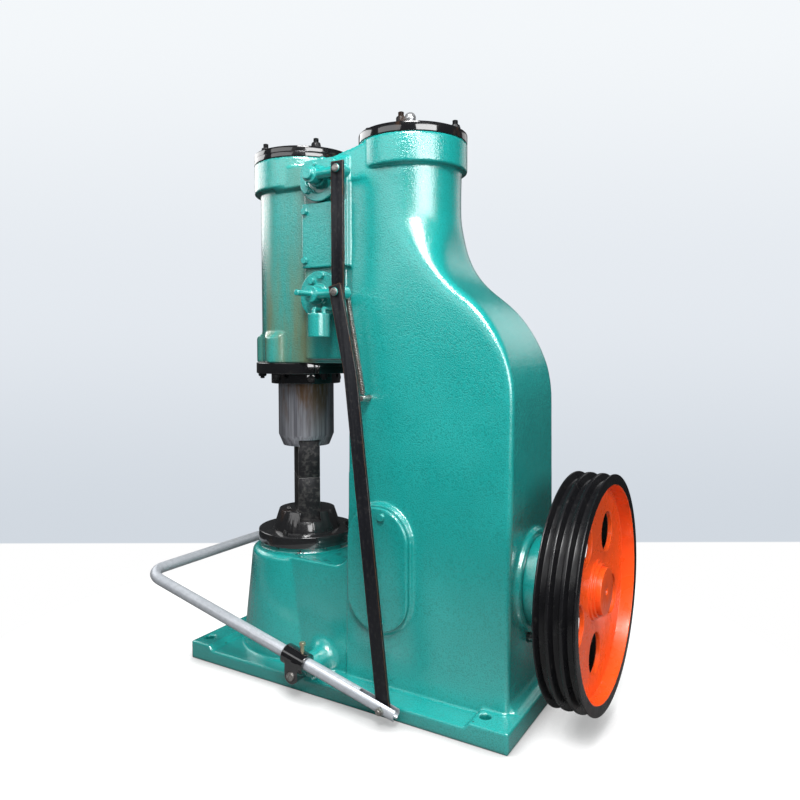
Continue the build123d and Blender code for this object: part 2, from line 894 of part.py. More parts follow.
def treadle_tube():
    """The bent tube: near arm, front bar and far arm, with a forked tail."""
    route = FilletPolyline(
        (tail_x, -arm_y, tail_z),
        (bend_x, -arm_y, bend_z),
        (bend_x, arm_y, bend_z),
        (far_arm_end_x, arm_y, arm_height(far_arm_end_x)),
        radius=bend_radius,
    )
    start = Plane(origin=route @ 0, z_dir=route % 0)
    ring = Circle(tube_radius) - Circle(tube_radius - tube_wall)
    tube = sweep(start * ring, path=route)
    pivot = foot_pivot()
    tilt = math.degrees(math.atan2(bend_z - tail_z, tail_x - bend_x))
    slot = Box(2 * slot_length, link_thickness + 2 * slot_play, 2 * clamp_radius)
    tube -= Pos(pivot.X, pivot.Y, pivot.Z) * Rot(0, tilt, 0) * slot
    return tube - crosswise(foot_bolt_radius, -base_width, 0, pivot.X, pivot.Z)


def foot_bolt():
    """The cross bolt in the forked tail."""
    pivot = foot_pivot()
    half = foot_bolt_length / 2
    return crosswise(foot_bolt_radius, pivot.Y - half, pivot.Y + half, pivot.X, pivot.Z)


def treadle_shaft():
    """The cross shaft that the treadle turns on."""
    return crosswise(shaft_radius, -shaft_end_y, shaft_end_y, shaft_x, shaft_z)


def treadle_clamp():
    """The near clamp: a sleeve on the tube over an eye on the shaft."""
    tilt = math.degrees(math.atan2(bend_z - tail_z, tail_x - bend_x))
    place = Pos(shaft_x, -arm_y, arm_height(shaft_x)) * Rot(0, tilt, 0)
    lying = Rot(0, 90, 0) * Pos(0, 0, -clamp_length / 2)
    sleeve = place * lying * Cylinder(clamp_radius, clamp_length, align=STANDING)
    eye = crosswise(clamp_eye_radius, -clamp_eye_near, -clamp_eye_far, shaft_x, shaft_z)
    neck = block(
        shaft_x - clamp_eye_radius,
        shaft_x + clamp_eye_radius,
        -clamp_eye_near,
        -clamp_eye_far,
        shaft_z,
        arm_height(shaft_x),
    )
    bore = place * Rot(0, 90, 0) * Cylinder(tube_radius + clamp_fit, 2 * clamp_length)
    hole = crosswise(shaft_radius + clamp_fit, -base_width, 0, shaft_x, shaft_z)
    return sleeve + eye + neck - bore - hole


def far_treadle_clamp():
    """The far clamp."""
    return mirror(treadle_clamp(), about=Plane.XZ)


def return_spring():
    """The closed outline of the return spring, from the long pin to its post."""
    top = Vector(pin_x(), spring_y, lower_valve_z - spring_hook_drop)
    low = Vector(spring_low_x, spring_y, spring_low_z + spring_hook_drop)
    plane = Plane(origin=low, z_dir=top - low)
    return plane * Cylinder(spring_radius, (top - low).length, align=STANDING)


def groove_profile():
    """The rim's section with its belt grooves, as radius over length."""
    back = pulley_face_x - pulley_width
    pitch = pulley_width / groove_count
    root = groove_width * groove_root_share
    points = [(back, pulley_rim_radius), (back, pulley_radius)]
    for number in range(groove_count):
        middle = back + pitch * (number + 1 / 2)
        points.append((middle - groove_width / 2, pulley_radius))
        points.append((middle - root / 2, pulley_radius - groove_depth))
        points.append((middle + root / 2, pulley_radius - groove_depth))
        points.append((middle + groove_width / 2, pulley_radius))
    points.append((pulley_face_x, pulley_radius))
    points.append((pulley_face_x, pulley_rim_radius))
    return make_face(Polyline(*points, close=True))


def belt_pulley():
    """The grooved rim, the web with its round holes, and the hub."""
    rim = Pos(0, 0, crank_z) * revolve(Plane.XZ * groove_profile(), axis=Axis.X)
    web = lengthwise(pulley_rim_radius, web_face_x - web_thickness, web_face_x, 0, crank_z)
    hub = lengthwise(hub_radius, hub_front_x, hub_rear_x, 0, crank_z)
    hub += lengthwise(hub_step_radius, hub_front_x, hub_rear_x + hub_step_length, 0, crank_z)
    pulley = rim + web + hub
    for number in range(web_hole_count):
        turn = math.radians(web_hole_start_deg + number * 360 / web_hole_count)
        y = web_hole_circle_radius * math.cos(turn)
        z = crank_z + web_hole_circle_radius * math.sin(turn)
        pulley -= lengthwise(web_hole_radius, hub_front_x, hub_rear_x, y, z)
    return pulley - lengthwise(crankshaft_radius + crankshaft_fit, 0, pulley_face_x, 0, crank_z)


def crankshaft():
    """The rear end of the crankshaft."""
    return lengthwise(crankshaft_radius, crankshaft_front_x, crankshaft_end_x, 0, crank_z)


NODES = (
    frame_casting,
    compressor_cylinder_head,
    breather_cap,
    working_cylinder_gasket,
    working_cylinder_head,
    gland_flange,
    gland_collar,
    anvil_ring,
    anvil_cap,
    lower_die,
    upper_die,
    ram,
    valve_chest_cover,
    far_chest_cover,
    upper_valve_cover,
    lower_valve_cover,
    far_upper_valve_cover,
    far_lower_valve_cover,
    crank_cover,
    far_crank_cover,
    main_bearing_cap,
    drain_plug,
    oil_cup,
    spring_post,
    upper_valve_lever,
    lower_valve_lever,
    upper_link,
    lower_link,
    treadle_tube,
    treadle_shaft,
    treadle_clamp,
    far_treadle_clamp,
    foot_bolt,
    return_spring,
    belt_pulley,
    crankshaft,
)

os.makedirs("parts", exist_ok=True)
for node in NODES:
    export_step(node(), os.path.join("parts", node.__name__ + ".step"))
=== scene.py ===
"""Looks of a small pneumatic forging hammer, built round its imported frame.

Everything is in metres, in the part's own frame: the origin is the middle of
the base's underside, +X runs to the belt pulley, -Y to the valve gear, +Z up.
"""

from __future__ import annotations

import json
import logging
import math
from dataclasses import dataclass, field
from enum import Enum
from typing import Iterable, Sequence

import bmesh
import bpy
import numpy as np
from mathutils import Matrix, Vector

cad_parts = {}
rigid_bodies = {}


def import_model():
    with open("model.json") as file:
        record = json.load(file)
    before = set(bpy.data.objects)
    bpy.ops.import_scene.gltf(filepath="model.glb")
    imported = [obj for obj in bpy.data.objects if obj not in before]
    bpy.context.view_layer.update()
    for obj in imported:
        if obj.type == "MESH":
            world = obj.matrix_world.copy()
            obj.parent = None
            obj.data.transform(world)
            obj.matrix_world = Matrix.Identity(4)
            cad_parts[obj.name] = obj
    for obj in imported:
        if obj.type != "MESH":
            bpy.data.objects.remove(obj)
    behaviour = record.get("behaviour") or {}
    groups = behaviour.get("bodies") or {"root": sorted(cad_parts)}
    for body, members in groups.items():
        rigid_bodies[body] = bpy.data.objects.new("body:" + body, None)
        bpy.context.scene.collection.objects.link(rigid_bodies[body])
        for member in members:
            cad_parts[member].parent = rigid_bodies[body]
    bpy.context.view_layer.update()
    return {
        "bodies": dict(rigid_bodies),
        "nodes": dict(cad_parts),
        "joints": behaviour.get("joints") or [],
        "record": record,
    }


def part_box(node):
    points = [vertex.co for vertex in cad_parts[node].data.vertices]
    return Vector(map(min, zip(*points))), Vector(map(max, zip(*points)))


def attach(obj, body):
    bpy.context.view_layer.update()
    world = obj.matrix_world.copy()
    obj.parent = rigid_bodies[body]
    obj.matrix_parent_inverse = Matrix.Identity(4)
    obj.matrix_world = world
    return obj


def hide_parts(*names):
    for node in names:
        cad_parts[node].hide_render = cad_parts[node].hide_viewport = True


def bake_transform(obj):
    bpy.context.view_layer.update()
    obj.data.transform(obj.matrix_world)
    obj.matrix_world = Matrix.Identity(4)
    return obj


LOG = logging.getLogger("hammer")
JOIN = 1e-6
FLAT_DEG = 0.6
BEVEL_FROM_DEG = 32.0
CRISP_DEG = 35.0
CRISP_BEVEL_DEG = 40.0
CRISP_CAST_DEG = 80.0
CRISP_FASTENER_DEG = 30.0
CRISP_WIRE_DEG = 60.0
FIRST_TURN = 0.3
NEXT_TURN = 0.7

Colour = tuple[float, float, float]
Point2 = tuple[float, float]
Point3 = tuple[float, float, float]


class Body(Enum):
    """The moving bodies of the frame."""

    FRAME = "frame"
    RAM = "ram"
    PULLEY = "pulley"
    TREADLE = "treadle"
    UPPER_LEVER = "upper_lever"
    LOWER_LEVER = "lower_lever"
    UPPER_LINK = "upper_link"
    LOWER_LINK = "lower_link"


class Slot(Enum):
    """The finishes that the record names."""

    GREEN = "green_enamel"
    BLACK = "black_enamel"
    FORGED = "forged_steel"
    GROUND = "ground_steel"
    BAR = "black_bar"
    ZINC = "zinc_tube"
    SPRING = "spring_steel"
    ORANGE = "orange_enamel"


class Way(Enum):
    """The directions that fasteners point in."""

    UP = (0.0, 0.0, 1.0)
    DOWN = (0.0, 0.0, -1.0)
    NEAR = (0.0, -1.0, 0.0)
    FAR = (0.0, 1.0, 0.0)
    BACK = (1.0, 0.0, 0.0)


class Shader:
    """The node tree of one material while it is wired up."""

    def __init__(self, name: str) -> None:
        """Start a material with one glossy shader.

        Args:
            name: The material's name.
        """
        self.material = bpy.data.materials.new(name)
        self.material.use_nodes = True
        self.tree = self.material.node_tree
        self.surface = self.tree.nodes["Principled BSDF"]
        self.place = self.tree.nodes.new("ShaderNodeTexCoord").outputs["Object"]

    def node(self, kind: str, **inputs: object) -> bpy.types.Node:
        """Add a node and set or link its inputs.

        Args:
            kind: The node's type name.
            inputs: Values or sockets by input name, with spaces as underscores.

        Returns:
            The new node.
        """
        made = self.tree.nodes.new(kind)
        for key, value in inputs.items():
            self.feed(made.inputs[key.replace("_", " ")], value)
        return made

    def feed(self, socket: bpy.types.NodeSocket, value: object) -> None:
        """Link a socket to an input, or set the input's plain value.

        Args:
            socket: The input to fill.
            value: A socket, a number or a colour.
        """
        if isinstance(value, bpy.types.NodeSocket):
            self.tree.links.new(value, socket)
        elif isinstance(value, tuple) and socket.type == "RGBA":
            socket.default_value = (*value, 1.0)
        else:
            socket.default_value = value

    def stretched(self, stretch: Point3) -> bpy.types.NodeSocket:
        """Give the object's coordinates, stretched along its axes."""
        return self.node("ShaderNodeMapping", Vector=self.place, Scale=stretch).outputs["Vector"]

    def noise(
        self, grain: float, detail: float = 2.0, rough: float = 0.5, stretch: Point3 = (1.0, 1.0, 1.0)
    ) -> bpy.types.NodeSocket:
        """Add soft noise with grains of a real size.

        Args:
            grain: The size of one grain in metres.
            detail: How many finer layers it has.
            rough: How strong the finer layers are.
            stretch: The scale along each axis, for streaks.

        Returns:
            The noise as a value from 0 to 1.
        """
        made = self.node(
            "ShaderNodeTexNoise",
            Vector=self.stretched(stretch),
            Scale=1.0 / grain,
            Detail=detail,
            Roughness=rough,
        )
        return made.outputs["Fac"]

    def cells(self, size: float) -> bpy.types.NodeSocket:
        """Give one random value per cell, for cells of a real size."""
        made = self.node("ShaderNodeTexVoronoi", Vector=self.place, Scale=1.0 / size)
        return self.node("ShaderNodeRGBToBW", Color=made.outputs["Color"]).outputs["Val"]

    def step(self, value: object, low: float, high: float, start: float = 0.0, end: float = 1.0) -> object:
        """Map a value smoothly from one range to another.

        Args:
            value: The value to map.
            low: Where the change starts.
            high: Where the change ends.
            start: The result at low.
            end: The result at high.

        Returns:
            The mapped value.
        """
        made = self.node("ShaderNodeMapRange")
        made.interpolation_type = "SMOOTHSTEP"
        keys = ("Value", "From Min", "From Max", "To Min", "To Max")
        for key, number in zip(keys, (value, low, high, start, end)):
            self.feed(made.inputs[key], number)
        return made.outputs["Result"]

    def sum(self, kind: str, first: object, second: object = 0.0) -> bpy.types.NodeSocket:
        """Work out one step of arithmetic.

        Args:
            kind: The operation's name.
            first: The first number.
            second: The second number.

        Returns:
            The result.
        """
        made = self.node("ShaderNodeMath")
        made.operation = kind
        self.feed(made.inputs[0], first)
        self.feed(made.inputs[1], second)
        return made.outputs["Value"]

    def times(self, first: object, *others: object) -> object:
        """Multiply values, one after the other.

        Args:
            first: The first value.
            others: The values that it is multiplied with.

        Returns:
            The product.
        """
        for other in others:
            first = self.sum("MULTIPLY", first, other)
        return first

    def mix(self, share: object, first: object, second: object) -> bpy.types.NodeSocket:
        """Blend two colours.

        Args:
            share: How much of the second colour shows.
            first: The first colour.
            second: The second colour.

        Returns:
            The blended colour.
        """
        made = self.tree.nodes.new("ShaderNodeMix")
        made.data_type = "RGBA"
        for key, value in ((0, share), (6, first), (7, second)):
            self.feed(made.inputs[key], value)
        return made.outputs[2]

    def axis(self, name: str) -> bpy.types.NodeSocket:
        """Give one of the object's coordinates in metres."""
        return self.node("ShaderNodeSeparateXYZ", Vector=self.place).outputs[name]

    def edges(self, width: float) -> bpy.types.NodeSocket:
        """Find the sharp edges of a mesh.

        Args:
            width: How wide an edge is worn, in metres.

        Returns:
            A value that is 1 on an edge and 0 away from it.
        """
        worn = self.node("ShaderNodeBevel", Radius=width)
        worn.samples = 4
        true_way = self.tree.nodes.new("ShaderNodeNewGeometry").outputs["Normal"]
        dot = self.tree.nodes.new("ShaderNodeVectorMath")
        dot.operation = "DOT_PRODUCT"
        self.feed(dot.inputs[0], worn.outputs["Normal"])
        self.feed(dot.inputs[1], true_way)
        return self.step(dot.outputs["Value"], 0.99, 0.86)

    def ridges(self) -> bpy.types.NodeSocket:
        """Give how far the mesh stands out or folds in, about 0.5 on the flat."""
        return self.tree.nodes.new("ShaderNodeNewGeometry").outputs["Pointiness"]

    def bump(self, height: object, depth: float, strength: float = 1.0, under: object = None) -> object:
        """Turn a height into a relief.

        Args:
            height: The height from 0 to 1.
            depth: The relief's depth in metres.
            strength: How much of it shows.
            under: A relief that this one lies on.

        Returns:
            The relief's normal.
        """
        made = self.node("ShaderNodeBump", Height=height, Distance=depth, Strength=strength)
        if under is not None:
            self.feed(made.inputs["Normal"], under)
        return made.outputs["Normal"]

    def done(self, **inputs: object) -> bpy.types.Material:
        """Fill the shader's own inputs and give the material.

        Args:
            inputs: Values or sockets by input name, with spaces as underscores.

        Returns:
            The finished material.
        """
        for key, value in inputs.items():
            self.feed(self.surface.inputs[key.replace("_", " ")], value)
        return self.material


class WorldWires(Shader):
    """The world's node tree while it is wired up."""

    def __init__(self, tree: bpy.types.NodeTree) -> None:
        """Take over an empty tree."""
        self.tree = tree
        self.place = tree.nodes.new("ShaderNodeTexCoord").outputs["Generated"]

    def dot(self, way: Point3) -> bpy.types.NodeSocket:
        """Give how far a ray points along a direction.

        Args:
            way: The direction.

        Returns:
            The cosine between the two.
        """
        made = self.tree.nodes.new("ShaderNodeVectorMath")
        made.operation = "DOT_PRODUCT"
        self.feed(made.inputs[0], self.place)
        made.inputs[1].default_value = way
        return made.outputs["Value"]


@dataclass(frozen=True)
class HammerEnamel:
    """Blue-green hammer-finish enamel on cast iron, stained near the ram, with painted shade in corners and
    creases and painted highlights on convex edges.
    """

    name: str = "green_enamel_look"
    colour: Colour = (0.006, 0.300, 0.276)
    # pale is also the colour of the painted highlight on convex edges; deep is the colour of the pebbles'
    # hollows and also of the painted shade in corners and creases.
    pale: Colour = (0.016, 0.365, 0.338)
    deep: Colour = (0.002, 0.150, 0.135)
    stain: Colour = (0.190, 0.165, 0.060)
    dirt: Colour = (0.016, 0.018, 0.015)
    grain: float = 0.0027
    grain_depth: float = 0.0014
    wave: float = 0.028
    wave_depth: float = 0.0010
    painted_shade_reach: float = 0.07
    stained: bool = False

    def material(self) -> bpy.types.Material:
        """Wire up the enamel."""
        shader = Shader(self.name)
        pebbles = shader.noise(self.grain, 2.0, 0.55)
        broad = shader.noise(0.25, 3.0)
        colour = shader.mix(shader.step(broad, 0.3, 0.7), self.colour, self.pale)
        colour = shader.mix(shader.step(pebbles, 0.54, 0.34, 0.0, 0.45), colour, self.deep)
        # Painted shade: the AO node darkens the colour towards deep in corners, creases and recesses.
        corners = shader.node("ShaderNodeAmbientOcclusion", Distance=self.painted_shade_reach)
        corners.samples = 4
        colour = shader.mix(shader.step(corners.outputs["AO"], 0.72, 0.30, 0.0, 0.55), colour, self.deep)
        # Painted shade in concave creases (towards deep) and a painted highlight on convex edges (towards
        # pale), from the mesh's pointiness.
        ridges = shader.ridges()
        colour = shader.mix(shader.step(ridges, 0.47, 0.40, 0.0, 0.55), colour, self.deep)
        colour = shader.mix(shader.step(ridges, 0.54, 0.62, 0.0, 0.4), colour, self.pale)
        if self.stained:
            colour = shader.mix(self.stain_share(shader), colour, self.stain)
            colour = shader.mix(self.dirt_share(shader), colour, self.dirt)
        relief = shader.bump(pebbles, self.grain_depth, 0.65)
        relief = shader.bump(shader.noise(self.wave, 2.0), self.wave_depth, 0.35, relief)
        rough = shader.step(shader.noise(0.05, 3.0), 0.3, 0.7, 0.18, 0.27)
        shine = shader.bump(pebbles, self.grain_depth, 0.34)
        return shader.done(
            Base_Color=colour,
            Roughness=rough,
            Normal=relief,
            Specular_IOR_Level=0.85,
            Coat_Weight=1.0,
            Coat_Roughness=0.08,
            Coat_IOR=1.9,
            Coat_Normal=shine,
        )

    def stain_share(self, shader: Shader) -> object:
        """Brown oil runs down the working cylinder, towards the gland.

        Args:
            shader: The enamel's node tree.

        Returns:
            How strong the stain is.
        """
        height = shader.axis("Z")
        length = shader.axis("X")
        runs = shader.step(shader.noise(0.075, 4.0, 0.6, (1.0, 1.0, 0.14)), 0.30, 0.60)
        low = shader.step(height, 1.02, 0.78, 0.30, 1.0)
        below = shader.step(height, 0.69, 0.71)
        front = shader.step(length, -0.075, -0.12)
        return shader.times(runs, low, below, front, 0.75)

    def dirt_share(self, shader: Shader) -> bpy.types.NodeSocket:
        """Black smears under the anvil ring, and small chips low on the base.

        Args:
            shader: The enamel's node tree.

        Returns:
            How strong the dirt is.
        """
        height = shader.axis("Z")
        length = shader.axis("X")
        smears = shader.step(shader.noise(0.022, 4.0, 0.7, (1.0, 1.0, 2.2)), 0.56, 0.62)
        above = shader.step(height, 0.258, 0.266)
        under = shader.step(height, 0.30, 0.29)
        front = shader.step(length, -0.03, -0.07)
        chips = shader.step(shader.noise(0.013, 3.0, 0.6), 0.70, 0.73)
        low = shader.step(height, 0.055, 0.045)
        return shader.sum("MAXIMUM", shader.times(smears, above, under, front), shader.times(chips, low))


@dataclass(frozen=True)
class GlossBlack:
    """Glossy black enamel, brushed on thick, with rusty runs."""

    name: str = "black_enamel_look"
    colour: Colour = (0.007, 0.007, 0.008)
    dust: Colour = (0.035, 0.033, 0.030)
    rust: Colour = (0.085, 0.036, 0.012)
    rust_share: float = 0.12
    rough: Point2 = (0.10, 0.20)
    coat: float = 1.0

    def material(self) -> bpy.types.Material:
        """Wire up the enamel."""
        shader = Shader(self.name)
        runs = shader.noise(0.05, 4.0, 0.6, (1.0, 1.0, 0.5))
        dusty = shader.step(shader.noise(0.02, 4.0), 0.55, 0.8, 0.0, 0.5)
        colour = shader.mix(dusty, self.colour, self.dust)
        rusty = shader.step(runs, 0.58, 0.72, 0.0, self.rust_share * 4.0)
        colour = shader.mix(rusty, colour, self.rust)
        relief = shader.bump(shader.noise(0.009, 2.0), 0.0004, 0.4)
        rough = shader.step(shader.noise(0.03, 3.0), 0.3, 0.7, *self.rough)
        return shader.done(
            Base_Color=colour,
            Roughness=rough,
            Normal=relief,
            Coat_Weight=self.coat,
            Coat_Roughness=0.04,
            Coat_IOR=1.9,
        )


@dataclass(frozen=True)
class BarPaint:
    """Thin black paint on hot-rolled bar, rubbed through at the edges."""

    name: str = "black_bar_look"
    colour: Colour = (0.007, 0.0075, 0.010)
    worn: Colour = (0.16, 0.15, 0.14)
    rust: Colour = (0.20, 0.085, 0.022)
    edge: float = 0.0022

    def material(self) -> bpy.types.Material:
        """Wire up the paint."""
        shader = Shader(self.name)
        patches = shader.noise(0.03, 4.0, 0.6, (1.0, 1.0, 0.25))
        specks = shader.step(shader.noise(0.006, 3.0), 0.5, 0.8, 0.0, 0.12)
        colour = shader.mix(specks, self.colour, self.worn)
        edge = shader.edges(self.edge)
        colour = shader.mix(shader.times(edge, shader.step(patches, 0.42, 0.6)), colour, self.worn)
        colour = shader.mix(shader.times(edge, shader.step(patches, 0.60, 0.52), 0.8), colour, self.rust)
        relief = shader.bump(shader.noise(0.004, 2.0), 0.0004, 0.5)
        rough = shader.step(patches, 0.3, 0.7, 0.28, 0.42)
        return shader.done(Base_Color=colour, Roughness=rough, Normal=relief, Specular_IOR_Level=0.35)


@dataclass(frozen=True)
class GroundSteel:
    """Turned and ground steel with upright rub marks and brown oil."""

    name: str = "ground_steel_look"
    colour: Colour = (0.50, 0.51, 0.56)
    dark: Colour = (0.22, 0.22, 0.25)
    oil: Colour = (0.20, 0.12, 0.07)
    oil_from: float = 0.60

    def material(self) -> bpy.types.Material:
        """Wire up the steel."""
        shader = Shader(self.name)
        rubs = shader.noise(0.006, 4.0, 0.65, (1.0, 1.0, 0.03))
        colour = shader.mix(shader.step(rubs, 0.34, 0.66), self.dark, self.colour)
        runs = shader.step(shader.noise(0.035, 4.0, 0.6, (1.0, 1.0, 0.22)), 0.46, 0.64)
        high = shader.step(shader.axis("Z"), self.oil_from - 0.08, self.oil_from + 0.04)
        colour = shader.mix(shader.times(runs, high), colour, self.oil)
        rough = shader.step(rubs, 0.3, 0.7, 0.46, 0.30)
        relief = shader.bump(rubs, 0.0002, 0.3)
        return shader.done(Base_Color=colour, Metallic=0.65, Roughness=rough, Normal=relief)


@dataclass(frozen=True)
class ScaledSteel:
    """Dark forged steel, with scale on its sides and bright rubbed corners."""

    name: str = "forged_steel_look"
    colour: Colour = (0.035, 0.035, 0.038)
    scale_colour: Colour = (0.10, 0.098, 0.095)
    bright: Colour = (0.36, 0.35, 0.34)
    edge: float = 0.002

    def material(self) -> bpy.types.Material:
        """Wire up the steel."""
        shader = Shader(self.name)
        scale = shader.noise(0.012, 4.0, 0.65)
        colour = shader.mix(shader.step(scale, 0.46, 0.66), self.colour, self.scale_colour)
        colour = shader.mix(shader.times(shader.edges(self.edge), 0.7), colour, self.bright)
        rough = shader.step(scale, 0.3, 0.7, 0.32, 0.52)
        relief = shader.bump(shader.noise(0.004, 3.0), 0.0005, 0.5)
        return shader.done(Base_Color=colour, Metallic=0.75, Roughness=rough, Normal=relief)


@dataclass(frozen=True)
class ZincTube:
    """Galvanised steel with faint spangle and handling marks."""

    name: str = "zinc_look"
    colour: Colour = (0.55, 0.58, 0.62)
    dull: Colour = (0.50, 0.53, 0.57)
    scuff: Colour = (0.30, 0.29, 0.28)
    spangle: float = 0.007

    def material(self) -> bpy.types.Material:
        """Wire up the zinc."""
        shader = Shader(self.name)
        spangle = shader.cells(self.spangle)
        colour = shader.mix(shader.step(spangle, 0.2, 0.8), self.colour, self.dull)
        marks = shader.noise(0.02, 5.0, 0.7, (0.35, 0.6, 1.0))
        colour = shader.mix(shader.step(marks, 0.62, 0.74, 0.0, 0.4), colour, self.scuff)
        rough = shader.step(marks, 0.3, 0.75, 0.27, 0.48)
        relief = shader.bump(marks, 0.0003, 0.3)
        return shader.done(Base_Color=colour, Metallic=0.45, Roughness=rough, Normal=relief)


@dataclass(frozen=True)
class BareMetal:
    """A small bare screw, pin or wire."""

    name: str
    colour: Colour
    dull: Colour
    rough: float = 0.34
    relief: float = 0.4

    def material(self) -> bpy.types.Material:
        """Wire up the metal."""
        shader = Shader(self.name)
        marks = shader.noise(0.003, 4.0, 0.6)
        colour = shader.mix(shader.step(marks, 0.42, 0.66), self.colour, self.dull)
        rough = shader.step(marks, 0.3, 0.7, self.rough - 0.06, self.rough + 0.08)
        relief = shader.bump(marks, 0.0002, self.relief)
        return shader.done(Base_Color=colour, Metallic=0.9, Roughness=rough, Normal=relief)


@dataclass(frozen=True)
class PulleyPaint:
    """Orange enamel inside the rim and black enamel on it, with painted shade in black on the rim's inner
    face in front of the web.
    """

    name: str = "pulley_look"
    orange: Colour = (0.99, 0.105, 0.014)
    deep: Colour = (0.72, 0.048, 0.007)
    black: Colour = (0.006, 0.006, 0.007)
    scuff: Colour = (0.05, 0.048, 0.045)
    rim_radius: float = 0.2065
    rim_blur: float = 0.0003
    painted_shade_radius: Point2 = (0.195, 0.202)
    axis_height: float = 0.267
    web_front: float = 0.4990

    def material(self) -> bpy.types.Material:
        """Wire up the two paints."""
        shader = Shader(self.name)
        across = shader.axis("Y")
        height = shader.sum("SUBTRACT", shader.axis("Z"), self.axis_height)
        square = shader.sum("ADD", shader.sum("POWER", across, 2.0), shader.sum("POWER", height, 2.0))
        radius = shader.sum("SQRT", square)
        wander = shader.step(shader.noise(0.03, 2.0), 0.3, 0.7, -0.0006, 0.0006)
        low, high = self.rim_radius - self.rim_blur, self.rim_radius + self.rim_blur
        black_rim_and_painted_shade = shader.step(shader.sum("ADD", radius, wander), low, high)
        brush = shader.noise(0.008, 3.0, 0.6)
        worn = shader.step(shader.noise(0.06, 4.0), 0.6, 0.8, 0.0, 0.35)
        warm = shader.mix(worn, self.orange, self.deep)
        rubbed = shader.step(shader.noise(0.012, 4.0), 0.58, 0.8, 0.0, 0.4)
        dark = shader.mix(rubbed, self.black, self.scuff)
        # Painted shade: the rim's inner face in front of the web turns black, for the shade seen through the
        # web's holes.
        inside = shader.step(shader.axis("X"), self.web_front, self.web_front - 0.0005)
        inside = shader.times(inside, shader.step(radius, *self.painted_shade_radius))
        black_rim_and_painted_shade = shader.sum("MAXIMUM", black_rim_and_painted_shade, inside)
        colour = shader.mix(black_rim_and_painted_shade, warm, dark)
        relief = shader.bump(brush, 0.0006, 0.4)
        rough = shader.step(shader.noise(0.04, 3.0), 0.3, 0.7, 0.24, 0.36)
        coat = shader.step(black_rim_and_painted_shade, 0.0, 1.0, 0.3, 0.05)
        return shader.done(
            Base_Color=colour, Roughness=rough, Normal=relief, Coat_Weight=coat, Coat_Roughness=0.12
        )


@dataclass
class Paints:
    """Every finish of the hammer, made once."""

    green: bpy.types.Material = field(default_factory=HammerEnamel().material)
    casting: bpy.types.Material = field(
        default_factory=HammerEnamel(name="casting_look", stained=True).material
    )
    black: bpy.types.Material = field(default_factory=GlossBlack().material)
    bar: bpy.types.Material = field(default_factory=BarPaint().material)
    ground: bpy.types.Material = field(default_factory=GroundSteel().material)
    forged: bpy.types.Material = field(default_factory=ScaledSteel().material)
    zinc: bpy.types.Material = field(default_factory=ZincTube().material)
    pulley: bpy.types.Material = field(default_factory=PulleyPaint().material)
    nut: bpy.types.Material = field(
        default_factory=GlossBlack("black_nut_look", rough=(0.42, 0.58), coat=0.0).material
    )
    oiled: bpy.types.Material = field(
        default_factory=GlossBlack(
            "oiled_black_look", (0.013, 0.013, 0.014), rust_share=0.04, rough=(0.16, 0.28), coat=0.6
        ).material
    )
    chrome: bpy.types.Material = field(
        default_factory=BareMetal("chrome_look", (0.88, 0.89, 0.91), (0.82, 0.83, 0.85), 0.30, 0.04).material
    )
    wire: bpy.types.Material = field(
        default_factory=BareMetal("spring_look", (0.34, 0.33, 0.31), (0.12, 0.10, 0.085), 0.40).material
    )
    brass: bpy.types.Material = field(
        default_factory=BareMetal("brass_look", (0.74, 0.66, 0.46), (0.46, 0.38, 0.22), 0.34).material
    )
    pin: bpy.types.Material = field(
        default_factory=BareMetal("pin_look", (0.52, 0.50, 0.48), (0.22, 0.20, 0.18), 0.36).material
    )


def new_piece(name: str, shape: bmesh.types.BMesh, sharp: float = CRISP_DEG) -> bpy.types.Object:
    """Turn a finished shape into an object with smooth faces.

    Args:
        name: The piece's name.
        shape: The shape, which is freed.
        sharp: The angle in degrees past which an edge stays crisp.

    Returns:
        The new object.
    """
    mesh = bpy.data.meshes.new(name)
    shape.to_mesh(mesh)
    shape.free()
    return mesh_piece(name, mesh, sharp)


def mesh_piece(name: str, mesh: bpy.types.Mesh, sharp: float) -> bpy.types.Object:
    """Link a mesh into the scene as a piece.

    Args:
        name: The piece's name.
        mesh: The finished mesh.
        sharp: The angle in degrees past which an edge stays crisp.

    Returns:
        The new object.
    """
    mesh.shade_smooth()
    mesh.set_sharp_from_angle(angle=math.radians(sharp))
    piece = bpy.data.objects.new(name, mesh)
    bpy.context.scene.collection.objects.link(piece)
    return piece


def seat(
    piece: bpy.types.Object, body: Body, slot: Slot, look: bpy.types.Material, *nodes: str
) -> bpy.types.Object:
    """Dress a piece and fix it to its body.

    Args:
        piece: The piece, in place.
        body: The body that carries it.
        slot: The record's finish that it takes.
        look: Its material.
        nodes: The nodes that it stands for.

    Returns:
        The same piece.
    """
    piece.data.materials.clear()
    piece.data.materials.append(look)
    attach(piece, body.value)
    if nodes:
        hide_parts(*nodes)
    LOG.info("%s rides on %s with %d faces", piece.name, body.value, len(piece.data.polygons))
    return piece


def plain_mesh(node: str) -> bpy.types.Mesh:
    """Copy a node's bare geometry, with its doubled points joined.

    Args:
        node: The node's name.

    Returns:
        The new mesh.
    """
    source = bpy.data.objects[node].data
    shape = bmesh.new()
    points = [shape.verts.new(v.co) for v in source.vertices]
    for face in source.polygons:
        shape.faces.new([points[i] for i in face.vertices])
    bmesh.ops.remove_doubles(shape, verts=shape.verts, dist=JOIN)
    bmesh.ops.recalc_face_normals(shape, faces=shape.faces)
    mesh = bpy.data.meshes.new(node + "_copy")
    shape.to_mesh(mesh)
    shape.free()
    return mesh


